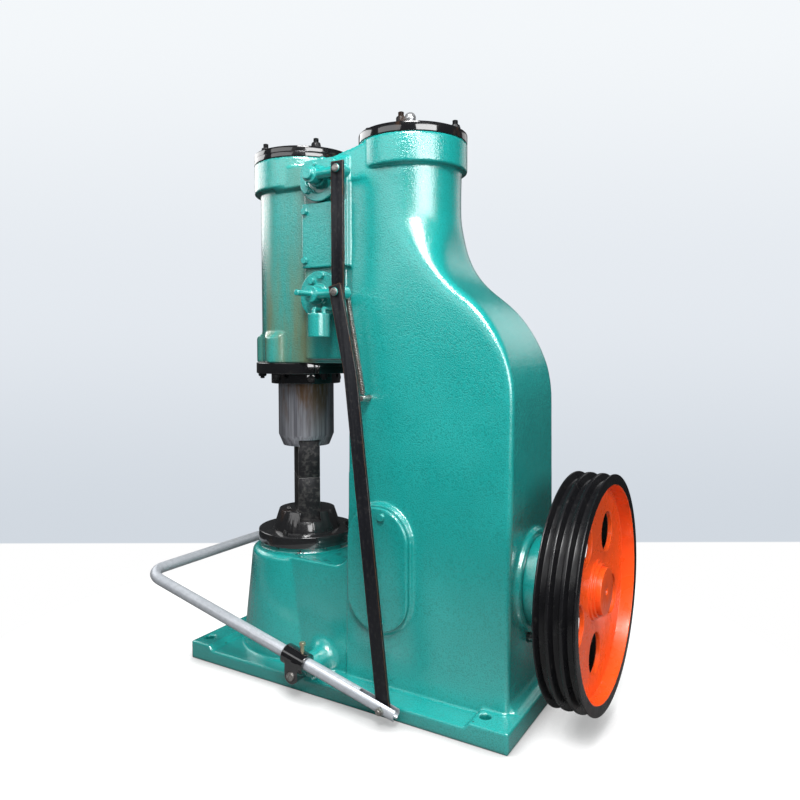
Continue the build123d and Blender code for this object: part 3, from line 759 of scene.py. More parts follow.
def shaped(name: str, mesh: bpy.types.Mesh, tools: Sequence[tuple[str, dict[str, object]]]) -> bpy.types.Mesh:
    """Run modifiers over a mesh and keep the result.

    Args:
        name: The result's name.
        mesh: The mesh to start from.
        tools: Modifier types with their settings, in order.

    Returns:
        The shaped mesh.
    """
    holder = bpy.data.objects.new(name + "_rough", mesh)
    bpy.context.scene.collection.objects.link(holder)
    for kind, settings in tools:
        tool = holder.modifiers.new(kind, kind)
        for key, value in settings.items():
            setattr(tool, key, value)
    graph = bpy.context.evaluated_depsgraph_get()
    result = bpy.data.meshes.new_from_object(holder.evaluated_get(graph))
    bpy.data.objects.remove(holder)
    result.name = name
    return result


def cast_mesh(node: str, name: str, voxel: float, rounds: int) -> bpy.types.Mesh:
    """Give a node's shape the soft edges and corners of a painted casting.

    Args:
        node: The node to copy.
        name: The mesh's name.
        voxel: The size of the new faces in metres.
        rounds: How many times the surface is smoothed.

    Returns:
        The soft-edged mesh.
    """
    tools = [
        ("REMESH", {"mode": "VOXEL", "voxel_size": voxel}),
        ("SMOOTH", {"factor": 0.5, "iterations": rounds}),
    ]
    return shaped(name, plain_mesh(node), tools)


def cast_copy(node: str, voxel: float, rounds: int = 3) -> bpy.types.Object:
    """Copy a node as a soft-edged casting, from faces of a given size."""
    return mesh_piece(node + "_cast", cast_mesh(node, node + "_cast", voxel, rounds), CRISP_CAST_DEG)


def rounded_copy(node: str, name: str, width: float, segments: int = 2) -> bpy.types.Object:
    """Copy a node with its sharp edges rounded.

    Args:
        node: The node to copy.
        name: The piece's name.
        width: The width of the rounding in metres.
        segments: How many faces the rounding has.

    Returns:
        The rounded piece.
    """
    shape = bmesh.new()
    shape.from_mesh(plain_mesh(node))
    flat = math.radians(FLAT_DEG)
    bmesh.ops.dissolve_limit(shape, angle_limit=flat, verts=shape.verts, edges=shape.edges)
    mesh = bpy.data.meshes.new(name)
    shape.to_mesh(mesh)
    shape.free()
    bevel = {
        "width": width,
        "segments": segments,
        "limit_method": "ANGLE",
        "angle_limit": math.radians(BEVEL_FROM_DEG),
        "use_clamp_overlap": True,
    }
    return mesh_piece(name, shaped(name, mesh, [("BEVEL", bevel)]), CRISP_BEVEL_DEG)


def turned_to(way: Iterable[float], at: Iterable[float]) -> Matrix:
    """Give the transform that stands a shape up along a direction, at a place."""
    turn = Vector(way).to_track_quat("Z", "Y").to_matrix().to_4x4()
    return Matrix.Translation(Vector(at)) @ turn


def add_lathe(shape: bmesh.types.BMesh, profile: Sequence[Point2], place: Matrix, sides: int = 96) -> None:
    """Add a turned form to a shape.

    Args:
        shape: The shape that it is added to.
        profile: Radius and height from the bottom of the axis to the top.
        place: Where the form stands.
        sides: How many faces go round it.
    """
    rings = []
    for radius, height in profile:
        if radius == 0.0:
            rings.append([shape.verts.new(place @ Vector((0.0, 0.0, height)))])
            continue
        ring = []
        for number in range(sides):
            turn = 2.0 * math.pi * number / sides
            point = Vector((radius * math.cos(turn), radius * math.sin(turn), height))
            ring.append(shape.verts.new(place @ point))
        rings.append(ring)
    for low, high in zip(rings, rings[1:]):
        for number in range(sides):
            after = (number + 1) % sides
            if len(low) == 1:
                shape.faces.new((low[0], high[after], high[number]))
            elif len(high) == 1:
                shape.faces.new((low[number], low[after], high[0]))
            else:
                shape.faces.new((low[number], low[after], high[after], high[number]))


def eased(points: Sequence[Point2], radius: float, steps: int = 3) -> list[Point2]:
    """Round the inner corners of an open outline.

    Args:
        points: The outline's points.
        radius: The rounding's radius.
        steps: How many faces a corner gets.

    Returns:
        The outline with rounded corners.
    """
    result = [points[0]]
    for before, corner, after in zip(points, points[1:], points[2:]):
        here = Vector(corner)
        back = Vector(before) - here
        ahead = Vector(after) - here
        reach = min(radius, 0.45 * back.length, 0.45 * ahead.length)
        start = here + back.normalized() * reach
        end = here + ahead.normalized() * reach
        for number in range(steps + 1):
            share = number / steps
            point = start * (1 - share) ** 2 + here * 2 * share * (1 - share) + end * share**2
            result.append((point.x, point.y))
    result.append(points[-1])
    return result


@dataclass(frozen=True)
class Fastener:
    """A hexagon head or nut, with a washer below it and a stud through it."""

    flats: float
    head: float
    washer_radius: float = 0.0
    washer: float = 0.0
    stud_radius: float = 0.0
    stud: float = 0.0
    root_share: float = 0.88
    tip_share: float = 0.7
    shoulder_share: float = 0.80
    top_share: float = 0.95
    dip_share: float = 0.14

    def add(
        self, shape: bmesh.types.BMesh, at: Iterable[float], way: Iterable[float], turn: float = 0.0
    ) -> None:
        """Add the fastener to a shape.

        Args:
            shape: The shape that it is added to.
            at: The middle of its seat.
            way: The direction that it points in.
            turn: How far it is turned on its axis, in radians.
        """
        place = turned_to(way, at) @ Matrix.Rotation(turn, 4, "Z")
        if self.washer:
            radius, thick = self.washer_radius, self.washer
            rim = [(0.0, 0.0), (radius, 0.0), (radius, thick), (0.0, thick)]
            add_lathe(shape, eased(rim, thick * 0.4), place, 24)
        self.add_hexagon(shape, place @ Matrix.Translation((0.0, 0.0, self.washer)))
        if self.stud:
            base = self.washer + self.head
            tip = base + self.stud
            end = (self.stud_radius * self.tip_share, tip)
            add_lathe(shape, [(0.0, base), *self.thread(base, tip), end, (0.0, tip)], place, 16)

    def thread(self, low: float, high: float, pitch: float = 0.002) -> list[Point2]:
        """Give the ridged outline of a stud's end.

        Args:
            low: Where the stud comes out.
            high: Where it ends.
            pitch: The thread's pitch.

        Returns:
            Radius and height along the stud.
        """
        count = max(2, int((high - low) / pitch))
        points = []
        for number in range(count):
            base = low + (high - low) * number / count
            points.append((self.stud_radius * self.root_share, base))
            points.append((self.stud_radius, base + (high - low) * 0.5 / count))
        return points

    def add_hexagon(self, shape: bmesh.types.BMesh, place: Matrix) -> None:
        """Add the six-sided head with its turned top edge.

        Args:
            shape: The shape that it is added to.
            place: Where its underside lies.
        """
        corner = self.flats / math.sqrt(3.0)
        per_side = 4
        outline = []
        for side in range(6):
            first = math.pi / 3.0 * side
            last = math.pi / 3.0 * (side + 1)
            for number in range(per_side):
                share = number / per_side
                x = corner * (math.cos(first) * (1 - share) + math.cos(last) * share)
                y = corner * (math.sin(first) * (1 - share) + math.sin(last) * share)
                outline.append(Vector((x, y)))
        inner = self.flats / 2.0
        shoulder = self.head * self.shoulder_share
        levels = []
        for height, limit in ((0.0, corner), (shoulder, corner), (self.head, inner * self.top_share)):
            ring = []
            for point in outline:
                reach = min(point.length, limit)
                drop = 0.0
                if height == shoulder:
                    drop = (point.length - inner) / (corner - inner) * self.head * self.dip_share
                flat = point.normalized() * reach
                ring.append(shape.verts.new(place @ Vector((flat.x, flat.y, height - drop))))
            levels.append(ring)
        for low, high in zip(levels, levels[1:]):
            for number in range(len(outline)):
                after = (number + 1) % len(outline)
                shape.faces.new((low[number], low[after], high[after], high[number]))
        shape.faces.new(levels[-1])
        shape.faces.new(list(reversed(levels[0])))


def fastener_set(name: str, kind: Fastener, places: Sequence[tuple[Point3, Way]]) -> bpy.types.Object:
    """Make a set of like fasteners as one piece, each turned differently.

    Args:
        name: The piece's name.
        kind: The fastener.
        places: The middle of each seat, with the way that it points.

    Returns:
        The new piece.
    """
    shape = bmesh.new()
    for number, (at, way) in enumerate(places):
        kind.add(shape, at, way.value, FIRST_TURN + NEXT_TURN * number)
    return new_piece(name, shape, CRISP_FASTENER_DEG)


def swept_tube(name: str, points: Sequence[Vector], radius: float, sides: int = 8) -> bpy.types.Object:
    """Sweep a round wire along a line of points.

    Args:
        name: The piece's name.
        points: The line's points.
        radius: The wire's radius.
        sides: How many faces go round it.

    Returns:
        The wire.
    """
    shape = bmesh.new()
    rings = []
    side = (points[1] - points[0]).orthogonal().normalized()
    for number, point in enumerate(points):
        before = points[max(number - 1, 0)]
        after = points[min(number + 1, len(points) - 1)]
        along = (after - before).normalized()
        side = (side - along * side.dot(along)).normalized()
        other = along.cross(side)
        ring = []
        for step in range(sides):
            turn = 2.0 * math.pi * step / sides
            ring.append(shape.verts.new(point + (side * math.cos(turn) + other * math.sin(turn)) * radius))
        rings.append(ring)
    for low, high in zip(rings, rings[1:]):
        for step in range(sides):
            after_step = (step + 1) % sides
            shape.faces.new((low[step], low[after_step], high[after_step], high[step]))
    shape.faces.new(list(reversed(rings[0])))
    shape.faces.new(rings[-1])
    return new_piece(name, shape, CRISP_WIRE_DEG)


def round_about(turns_deg: Iterable[float], radius: float, centre: Point2, height: float) -> list[Point3]:
    """Give places round an upright axis, by their angles from +X."""
    turns = [math.radians(turn) for turn in turns_deg]
    return [(centre[0] + radius * math.cos(t), centre[1] + radius * math.sin(t), height) for t in turns]


def middle(node: str) -> Vector:
    """Give the middle of a node's box."""
    low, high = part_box(node)
    return (low + high) / 2.0


def bored_ring(node: str, edge: float) -> bpy.types.Object:
    """Turn a bored ring that stands for a node.

    Args:
        node: The ring's node.
        edge: The rounding of its edges in metres.

    Returns:
        The ring.
    """
    low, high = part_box(node)
    centre = middle(node)
    radius = (high.x - low.x) / 2.0
    points = np.array([v.co for v in bpy.data.objects[node].data.vertices])
    bore = float(np.hypot(points[:, 0] - centre.x, points[:, 1] - centre.y).min())
    thick = high.z - low.z
    outline = eased([(bore, 0.0), (radius, 0.0), (radius, thick), (bore, thick), (bore, 0.0)], edge)
    shape = bmesh.new()
    add_lathe(shape, outline, Matrix.Translation((centre.x, centre.y, low.z)), 160)
    bmesh.ops.remove_doubles(shape, verts=shape.verts, dist=JOIN)
    return new_piece(node + "_ring", shape)


@dataclass
class Casting:
    """The one-piece frame casting with its soft cast edges."""

    voxel: float = 0.0028
    rounds: int = 3
    keep: float = 0.26
    neck_back: Point2 = (0.02, 0.07)
    neck_foot: Point2 = (0.70, 0.86)
    neck_top: Point2 = (0.105, 0.080)
    neck_rounds: int = 130

    def build(self, paints: Paints) -> None:
        """Make the casting.

        Args:
            paints: The finishes.
        """
        mesh = cast_mesh("frame_casting", "casting", self.voxel, self.rounds)
        self.ease_neck(mesh)
        mesh = shaped("casting", mesh, [("DECIMATE", {"ratio": self.keep})])
        piece = mesh_piece("casting", mesh, CRISP_CAST_DEG)
        seat(piece, Body.FRAME, Slot.GREEN, paints.casting, "frame_casting")

    def ease_neck(self, mesh: bpy.types.Mesh) -> None:
        """Let the round neck run softly into the flat sides of the column.

        Args:
            mesh: The casting's mesh, which is changed.
        """
        points = np.empty(len(mesh.vertices) * 3)
        mesh.vertices.foreach_get("co", points)
        points = points.reshape(-1, 3)
        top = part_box("compressor_cylinder_head")[0].z
        low_drop, high_drop = self.neck_top
        limits = ((0, self.neck_back), (2, self.neck_foot), (2, (top - high_drop, top - low_drop)))
        share = np.ones(len(points))
        for axis, (start, end) in limits:
            share *= np.clip((points[:, axis] - start) / (end - start), 0.0, 1.0)
        pairs = np.empty(len(mesh.edges) * 2, dtype=np.int64)
        mesh.edges.foreach_get("vertices", pairs)
        pairs = pairs.reshape(-1, 2)
        pairs = pairs[(share[pairs] > 0.0).any(axis=1)]
        used, compact = np.unique(pairs, return_inverse=True)
        first, second = compact.reshape(-1, 2).T
        near = points[used]
        pull = 0.5 * share[used, None]
        count = np.bincount(np.concatenate((first, second)), minlength=len(used))[:, None]
        for _ in range(self.neck_rounds):
            total = np.empty_like(near)
            for axis in range(3):
                total[:, axis] = np.bincount(first, near[second, axis], len(used))
                total[:, axis] += np.bincount(second, near[first, axis], len(used))
            near += pull * (total / count - near)
        points[used] = near
        mesh.vertices.foreach_set("co", points.ravel())
        mesh.update()


@dataclass
class CylinderHeads:
    """The black covers of both cylinders, with their studs."""

    stud: Fastener = Fastener(0.0200, 0.0115, 0.0125, 0.002, 0.0062, 0.0105)
    rear_stud_radius: float = 0.0985
    rear_turns_deg: tuple[float, ...] = (-155.0, -74.5, 6.0, 78.0, 142.0)
    front_stud_radius: float = 0.0945
    front_turns_deg: tuple[float, ...] = (-123.0, -35.0, 55.0, 145.0)
    edge: float = 0.0022
    joint_edge: float = 0.0003
    cap_collar_share: float = 0.85
    cap_collar: float = 0.0025
    cap_start: float = 0.0045
    cap_steps: int = 16

    def build(self, paints: Paints) -> None:
        """Make the covers, the cap and the studs.

        Args:
            paints: The finishes.
        """
        for node, low_edge, high_edge in (
            ("compressor_cylinder_head", self.edge, self.edge),
            ("working_cylinder_gasket", self.edge, self.joint_edge),
            ("working_cylinder_head", self.joint_edge, self.edge),
        ):
            seat(self.disc(node, low_edge, high_edge), Body.FRAME, Slot.BLACK, paints.black, node)
        seat(self.cap(), Body.FRAME, Slot.BLACK, paints.chrome, "breather_cap")
        sets = (
            ("rear_head_studs", "compressor_cylinder_head", self.rear_turns_deg, self.rear_stud_radius),
            ("front_head_studs", "working_cylinder_head", self.front_turns_deg, self.front_stud_radius),
        )
        for name, node, turns, radius in sets:
            centre = middle(node)
            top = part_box(node)[1].z
            places = [(at, Way.UP) for at in round_about(turns, radius, (centre.x, centre.y), top)]
            seat(fastener_set(name, self.stud, places), Body.FRAME, Slot.BLACK, paints.nut)

    @staticmethod
    def disc(node: str, low_edge: float, high_edge: float) -> bpy.types.Object:
        """Make a round cover from its node's box.

        Args:
            node: The cover's node.
            low_edge: The rounding of its lower edge.
            high_edge: The rounding of its upper edge.

        Returns:
            The cover.
        """
        low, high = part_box(node)
        radius = (high.x - low.x) / 2.0
        thick = high.z - low.z
        shape = bmesh.new()
        waist = (radius, thick / 2.0)
        outline = eased([(0.0, 0.0), (radius, 0.0), waist], low_edge)
        outline += eased([waist, (radius, thick), (0.0, thick)], high_edge)[1:]
        add_lathe(shape, outline, Matrix.Translation((middle(node).x, middle(node).y, low.z)), 160)
        return new_piece(node.replace("cylinder_", "") + "_cover", shape)

    def cap(self) -> bpy.types.Object:
        """Make the bright round cap on its collar."""
        low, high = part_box("breather_cap")
        radius = (high.x - low.x) / 2.0
        rise = high.z - low.z
        collar = radius * self.cap_collar_share
        outline = [(0.0, 0.0), (collar, 0.0), (collar, self.cap_collar)]
        first = math.asin((self.cap_start - rise + radius) / radius)
        for number in range(self.cap_steps):
            turn = first + (math.pi / 2.0 - first) * number / self.cap_steps
            outline.append((radius * math.cos(turn), rise - radius + radius * math.sin(turn)))
        outline.append((0.0, rise))
        shape = bmesh.new()
        centre = middle("breather_cap")
        add_lathe(shape, outline, Matrix.Translation((centre.x, centre.y, low.z)), 48)
        return new_piece("round_cap", shape)


@dataclass
class Gland:
    """The ring and packing collar under the working cylinder."""

    bolt: Fastener = Fastener(0.0170, 0.0085, stud_radius=0.0055, stud=0.005)
    bolt_radius: float = 0.1065
    bolt_turns_deg: tuple[float, ...] = (-149.0, -92.0, -29.0, 31.0, 88.0, 148.0)
    screw_radius: float = 0.0085
    screw_head: float = 0.006
    screw_root: float = -0.003
    screw_edge: float = 0.0008
    socket: float = 0.0045
    socket_share: float = 0.35
    screw_turns_deg: tuple[float, ...] = (-44.0, -106.0, 60.0, 150.0)
    edge: float = 0.0018

    def build(self, paints: Paints) -> None:
        """Make both rings and their fasteners.

        Args:
            paints: The finishes.
        """
        for node in ("gland_flange", "gland_collar"):
            seat(bored_ring(node, self.edge), Body.FRAME, Slot.BLACK, paints.black, node)
        centre = middle("gland_flange")
        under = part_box("gland_flange")[0].z
        spots = round_about(self.bolt_turns_deg, self.bolt_radius, (centre.x, centre.y), under)
        bolts = fastener_set("gland_bolts", self.bolt, [(at, Way.DOWN) for at in spots])
        seat(bolts, Body.FRAME, Slot.BLACK, paints.nut)
        seat(self.screws(centre), Body.FRAME, Slot.BLACK, paints.nut)

    def screws(self, centre: Vector) -> bpy.types.Object:
        """Make the socket screws round the packing collar.

        Args:
            centre: The middle of the gland.

        Returns:
            The screws.
        """
        low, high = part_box("gland_collar")
        radius = (high.x - low.x) / 2.0
        floor = self.screw_head * self.socket_share
        outline = [
            (0.0, self.screw_root),
            (self.screw_radius, self.screw_root),
            (self.screw_radius, self.screw_head),
            (self.socket, self.screw_head),
            (self.socket, floor),
            (0.0, floor),
        ]
        shape = bmesh.new()
        for at in round_about(self.screw_turns_deg, radius, (centre.x, centre.y), (low.z + high.z) / 2.0):
            way = Vector((at[0] - centre.x, at[1] - centre.y, 0.0))
            add_lathe(shape, eased(outline, self.screw_edge), turned_to(way, at), 24)
        return new_piece("collar_screws", shape)


@dataclass
class RamAndDies:
    """The ram, both dies, the anvil and the small parts that hold the lower die."""

    edge: float = 0.0012
    ram_edge: float = 0.001
    ring_edge: float = 0.0022
    ring_bolt: Fastener = Fastener(0.0120, 0.0070, stud_radius=0.0038, stud=0.004)
    ring_bolts: tuple[Point2, ...] = ((-0.1942, -0.0955), (-0.127, 0.064), (-0.302, 0.036))
    key_size: Point3 = (0.016, 0.009, 0.0055)
    key_at: Point3 = (-0.2265, -0.0445, 0.3545)
    key_turn_deg: float = -45.0
    key_taper: Point3 = (1.0, 0.8, 0.7)

    def build(self, paints: Paints) -> None:
        """Make the ram, the dies, the anvil and its fasteners.

        Args:
            paints: The finishes.
        """
        parts = (
            ("ram", Body.RAM, Slot.GROUND, paints.ground, self.ram_edge),
            ("upper_die", Body.RAM, Slot.FORGED, paints.forged, self.edge),
            ("lower_die", Body.FRAME, Slot.FORGED, paints.forged, self.edge),
            ("anvil_cap", Body.FRAME, Slot.BLACK, paints.oiled, self.edge),
        )
        for node, body, slot, look, edge in parts:
            seat(rounded_copy(node, node + "_body", edge), body, slot, look, node)
        seat(bored_ring("anvil_ring", self.ring_edge), Body.FRAME, Slot.BLACK, paints.oiled, "anvil_ring")
        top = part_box("anvil_ring")[1].z
        places = [((x, y, top), Way.UP) for x, y in self.ring_bolts]
        seat(fastener_set("anvil_ring_bolts", self.ring_bolt, places), Body.FRAME, Slot.BLACK, paints.nut)
        seat(self.key(), Body.FRAME, Slot.FORGED, paints.forged)

    def key(self) -> bpy.types.Object:
        """Make the wedge's end that sticks out beside the lower die."""
        shape = bmesh.new()
        bmesh.ops.create_cube(shape, size=1.0)
        taper = [v for v in shape.verts if v.co.x < 0.0]
        bmesh.ops.scale(shape, vec=self.key_taper, verts=taper)
        turn = Matrix.Rotation(math.radians(self.key_turn_deg), 4, "Z")
        place = Matrix.Translation(self.key_at) @ turn @ Matrix.Diagonal((*self.key_size, 1.0))
        bmesh.ops.transform(shape, matrix=place, verts=shape.verts)
        bmesh.ops.bevel(shape, geom=shape.edges, offset=self.edge, segments=2, affect="EDGES")
        return new_piece("die_key", shape)


@dataclass
class ValveGear:
    """Valve covers and chest covers on both sides, the levers and the oil cup."""

    bolt: Fastener = Fastener(0.0140, 0.0080)
    stud: Fastener = Fastener(0.0150, 0.0090, stud_radius=0.0050, stud=0.005)
    chest_inset: float = 0.010
    chest_rise: float = 0.017
    upper_bolts: tuple[Point2, ...] = ((-0.0915, 1.0822), (-0.0765, 1.1365), (-0.018, 1.080))
    lower_bolts: tuple[Point2, ...] = ((-0.0795, 0.8855), (-0.0550, 0.8965), (-0.0240, 0.8790))
    side_bolts: tuple[Point2, ...] = ((-0.1045, 0.8335), (-0.0180, 0.7950))
    knob_at: Point3 = (-0.0553, -0.119, 1.1440)

    def build(self, paints: Paints) -> None:
        """Make every piece of the valve gear.

        Args:
            paints: The finishes.
        """
        castings = (
            ("valve_chest_cover", Body.FRAME, 0.0019),
            ("far_chest_cover", Body.FRAME, 0.0019),
            ("upper_valve_cover", Body.FRAME, 0.0014),
            ("lower_valve_cover", Body.FRAME, 0.0014),
            ("far_upper_valve_cover", Body.FRAME, 0.0016),
            ("far_lower_valve_cover", Body.FRAME, 0.0016),
            ("upper_valve_lever", Body.UPPER_LEVER, 0.0011),
            ("lower_valve_lever", Body.LOWER_LEVER, 0.0011),
            ("oil_cup", Body.FRAME, 0.0013),
        )
        for node, body, voxel in castings:
            seat(cast_copy(node, voxel), body, Slot.GREEN, paints.green, node)
        seat(self.chest_bolts(), Body.FRAME, Slot.GREEN, paints.green)
        for name, node, spots in (
            ("upper_cover_bolts", "upper_valve_cover", self.upper_bolts),
            ("lower_cover_bolts", "lower_valve_cover", self.lower_bolts),
        ):
            face = self.cover_face(node)
            places = [((x, face, z), Way.NEAR) for x, z in spots]
            seat(fastener_set(name, self.bolt, places), Body.FRAME, Slot.GREEN, paints.green)
        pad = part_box("upper_valve_cover")[1].y
        places = [((x, pad, z), Way.NEAR) for x, z in self.side_bolts] + [(self.knob_at, Way.NEAR)]
        seat(fastener_set("pad_bolts", self.stud, places), Body.FRAME, Slot.GREEN, paints.green)

    @staticmethod
    def cover_face(node: str) -> float:
        """Give where the flat of a valve cover lies, behind its nose."""
        points = np.array([v.co.y for v in bpy.data.objects[node].data.vertices])
        levels, counts = np.unique(np.round(points, 4), return_counts=True)
        inner = (levels > points.min() + 0.001) & (levels < points.max() - 0.001)
        return float(levels[inner][np.argmax(counts[inner])])

    def chest_bolts(self) -> bpy.types.Object:
        """Make the bolts at the corners of both chest covers."""
        places: list[tuple[Point3, Way]] = []
        for node, way in (("valve_chest_cover", Way.NEAR), ("far_chest_cover", Way.FAR)):
            low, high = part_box(node)
            face = low.y if way is Way.NEAR else high.y
            for x in (low.x + self.chest_inset, high.x - self.chest_inset):
                for z in (low.z + self.chest_rise, high.z - self.chest_rise):
                    places.append(((x, face, z), way))
        return fastener_set("chest_bolts", self.bolt, places)


@dataclass
class Links:
    """The two flat links and the bright ends of their pins."""

    edge: float = 0.0009
    pin_radius: float = 0.0083
    pin_edge: float = 0.0006
    pin_faces: tuple[tuple[str, str, float, Body], ...] = (
        ("upper_pin_end", "upper_valve_lever", -0.1768, Body.UPPER_LEVER),
        ("lower_pin_end", "lower_valve_lever", -0.1846, Body.LOWER_LEVER),
    )

    def build(self, paints: Paints) -> None:
        """Make the links and the pins' ends.

        Args:
            paints: The finishes.
        """
        for node, body in (("upper_link", Body.UPPER_LINK), ("lower_link", Body.LOWER_LINK)):
            seat(rounded_copy(node, node + "_bar", self.edge), body, Slot.BAR, paints.bar, node)
        for name, lever, face, body in self.pin_faces:
            seat(self.pin_end(name, lever, face), body, Slot.GROUND, paints.pin)

    def pin_end(self, name: str, lever: str, face: float) -> bpy.types.Object:
        """Make the riveted end of a link's pin.

        Args:
            name: The piece's name.
            lever: The lever that the pin belongs to.
            face: Where the pin's head ends, along Y.

        Returns:
            The pin's end.
        """
        x = middle("upper_link").x
        z = middle(lever).z
        radius = self.pin_radius
        outline = [(0.0, -0.001), (radius, -0.001), (radius, 0.0008), (radius * 0.6, 0.0016), (0.0, 0.0018)]
        shape = bmesh.new()
        add_lathe(shape, eased(outline, self.pin_edge), turned_to(Way.NEAR.value, (x, face, z)), 32)
        return new_piece(name, shape)


@dataclass
class ReturnSpring:
    """The close-wound spring between the lower lever's pin and its post."""

    coil_radius: float = 0.0047
    wire_radius: float = 0.00145
    turns: int = 60
    steps: int = 16
    hook: float = 0.009
    head_rise: float = 0.006
    head_share: float = 0.1

    def build(self, paints: Paints) -> None:
        """Wind the spring between the frame's post and the lower lever's pin.

        Args:
            paints: The finishes.
        """
        post = middle("spring_post")
        low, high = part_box("return_spring")
        foot = Vector((post.x, (low.y + high.y) / 2.0, post.z))
        head = Vector((low.x + (high.x - low.x) * self.head_share, foot.y, high.z + self.head_rise))
        along = (head - foot).normalized()
        side = Vector((0.0, 1.0, 0.0))
        other = along.cross(side)
        start = foot + along * self.hook
        reach = (head - foot).length - 2.0 * self.hook
        points = [foot + other * self.coil_radius * 0.4, foot + along * self.hook * 0.5]
        for number in range(self.turns * self.steps + 1):
            turn = 2.0 * math.pi * number / self.steps
            rise = start + along * (reach * number / (self.turns * self.steps))
            points.append(rise + (side * math.cos(turn) + other * math.sin(turn)) * self.coil_radius)
        points += [head - along * self.hook * 0.5, head - other * self.coil_radius * 0.4]
        piece = swept_tube("return_spring_coil", points, self.wire_radius)
        piece.data.materials.append(paints.wire)
        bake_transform(piece)
        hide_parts("return_spring")
        LOG.info("%s hangs between %s and %s", piece.name, Body.FRAME.value, Body.LOWER_LEVER.value)


@dataclass
class Treadle:
    """The bent tube, its shaft, clamps and screws."""

    set_screw: Fastener = Fastener(0.0120, 0.0065)
    nut: Fastener = Fastener(0.0150, 0.0070, stud_radius=0.0045, stud=0.003)
    screw_x: float = -0.047
    screw_shank: float = 0.0042
    screw_top: float = 0.1228
    screw_seat: float = 0.004
    screw_edge: float = 0.0005
    clamp_half: float = 0.03
    tube_radius: float = 0.013
    tube_edge: float = 0.0006
    shaft_edge: float = 0.0015
    clamp_voxel: float = 0.0013

    def build(self, paints: Paints) -> None:
        """Make the tube, the clamps and the screws.

        Args:
            paints: The finishes.
        """
        for node in ("treadle_clamp", "far_treadle_clamp"):
            seat(cast_copy(node, self.clamp_voxel), Body.TREADLE, Slot.BLACK, paints.black, node)
        tube = rounded_copy("treadle_tube", "treadle_bent_tube", self.tube_edge)
        seat(tube, Body.TREADLE, Slot.ZINC, paints.zinc, "treadle_tube")
        shaft = rounded_copy("treadle_shaft", "treadle_cross_shaft", self.shaft_edge)
        seat(shaft, Body.TREADLE, Slot.GROUND, paints.pin, "treadle_shaft")
        seat(self.screws(), Body.TREADLE, Slot.ZINC, paints.brass)
        bolt = middle("foot_bolt")
        reach = self.tube_radius
        places = [
            ((bolt.x, bolt.y - reach, bolt.z), Way.NEAR),
            ((bolt.x, bolt.y + reach * 0.85, bolt.z), Way.FAR),
        ]
        seat(fastener_set("foot_bolt_nuts", self.nut, places), Body.TREADLE, Slot.ZINC, paints.pin)

    def screws(self) -> bpy.types.Object:
        """Make the set screws that lock both clamps to the tube."""
        shape = bmesh.new()
        for node in ("treadle_clamp", "far_treadle_clamp"):
            low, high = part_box(node)
            points = np.array([v.co for v in bpy.data.objects[node].data.vertices])
            near = points[np.abs(points[:, 0] - self.screw_x) < self.clamp_half]
            top = float(near[:, 2].max()) - self.screw_seat
            y = (low.y + high.y) / 2.0
            place = Matrix.Translation((self.screw_x, y, top))
            rise = self.screw_top - self.set_screw.head - top
            radius, root = self.screw_shank, -self.screw_seat
            shank = [(0.0, root), (radius, root), (radius, rise), (0.0, rise)]
            add_lathe(shape, eased(shank, self.screw_edge), place, 20)
            self.set_screw.add(shape, (self.screw_x, y, top + rise - self.screw_edge), Way.UP.value, 0.4)
        return new_piece("clamp_screws", shape, CRISP_FASTENER_DEG)


@dataclass
class Covers:
    """Crank covers, bearing cap, drain plug and spring post."""

    bolt: Fastener = Fastener(0.0150, 0.0070)
    crank_bolts: tuple[Point2, ...] = ((0.1036, 0.3905), (0.0986, 0.1680))
    crank_voxel: float = 0.0022
    crank_rounds: int = 2

    def build(self, paints: Paints) -> None:
        """Make the covers and their bolts.

        Args:
            paints: The finishes.
        """
        places: list[tuple[Point3, Way]] = []
        for node, way in (("crank_cover", Way.NEAR), ("far_crank_cover", Way.FAR)):
            cover = cast_copy(node, self.crank_voxel, self.crank_rounds)
            seat(cover, Body.FRAME, Slot.GREEN, paints.green, node)
            low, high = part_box(node)
            face = low.y if way is Way.NEAR else high.y
            places += [((x, face, z), way) for x, z in self.crank_bolts]
        seat(fastener_set("crank_cover_bolts", self.bolt, places), Body.FRAME, Slot.GREEN, paints.green)
        for node, name, edge, slot, look in (
            ("main_bearing_cap", "bearing_cap", 0.002, Slot.GREEN, paints.green),
            ("drain_plug", "oil_plug", 0.0015, Slot.BLACK, paints.black),
            ("spring_post", "spring_pin", 0.001, Slot.GREEN, paints.pin),
        ):
            seat(rounded_copy(node, name, edge), Body.FRAME, slot, look, node)


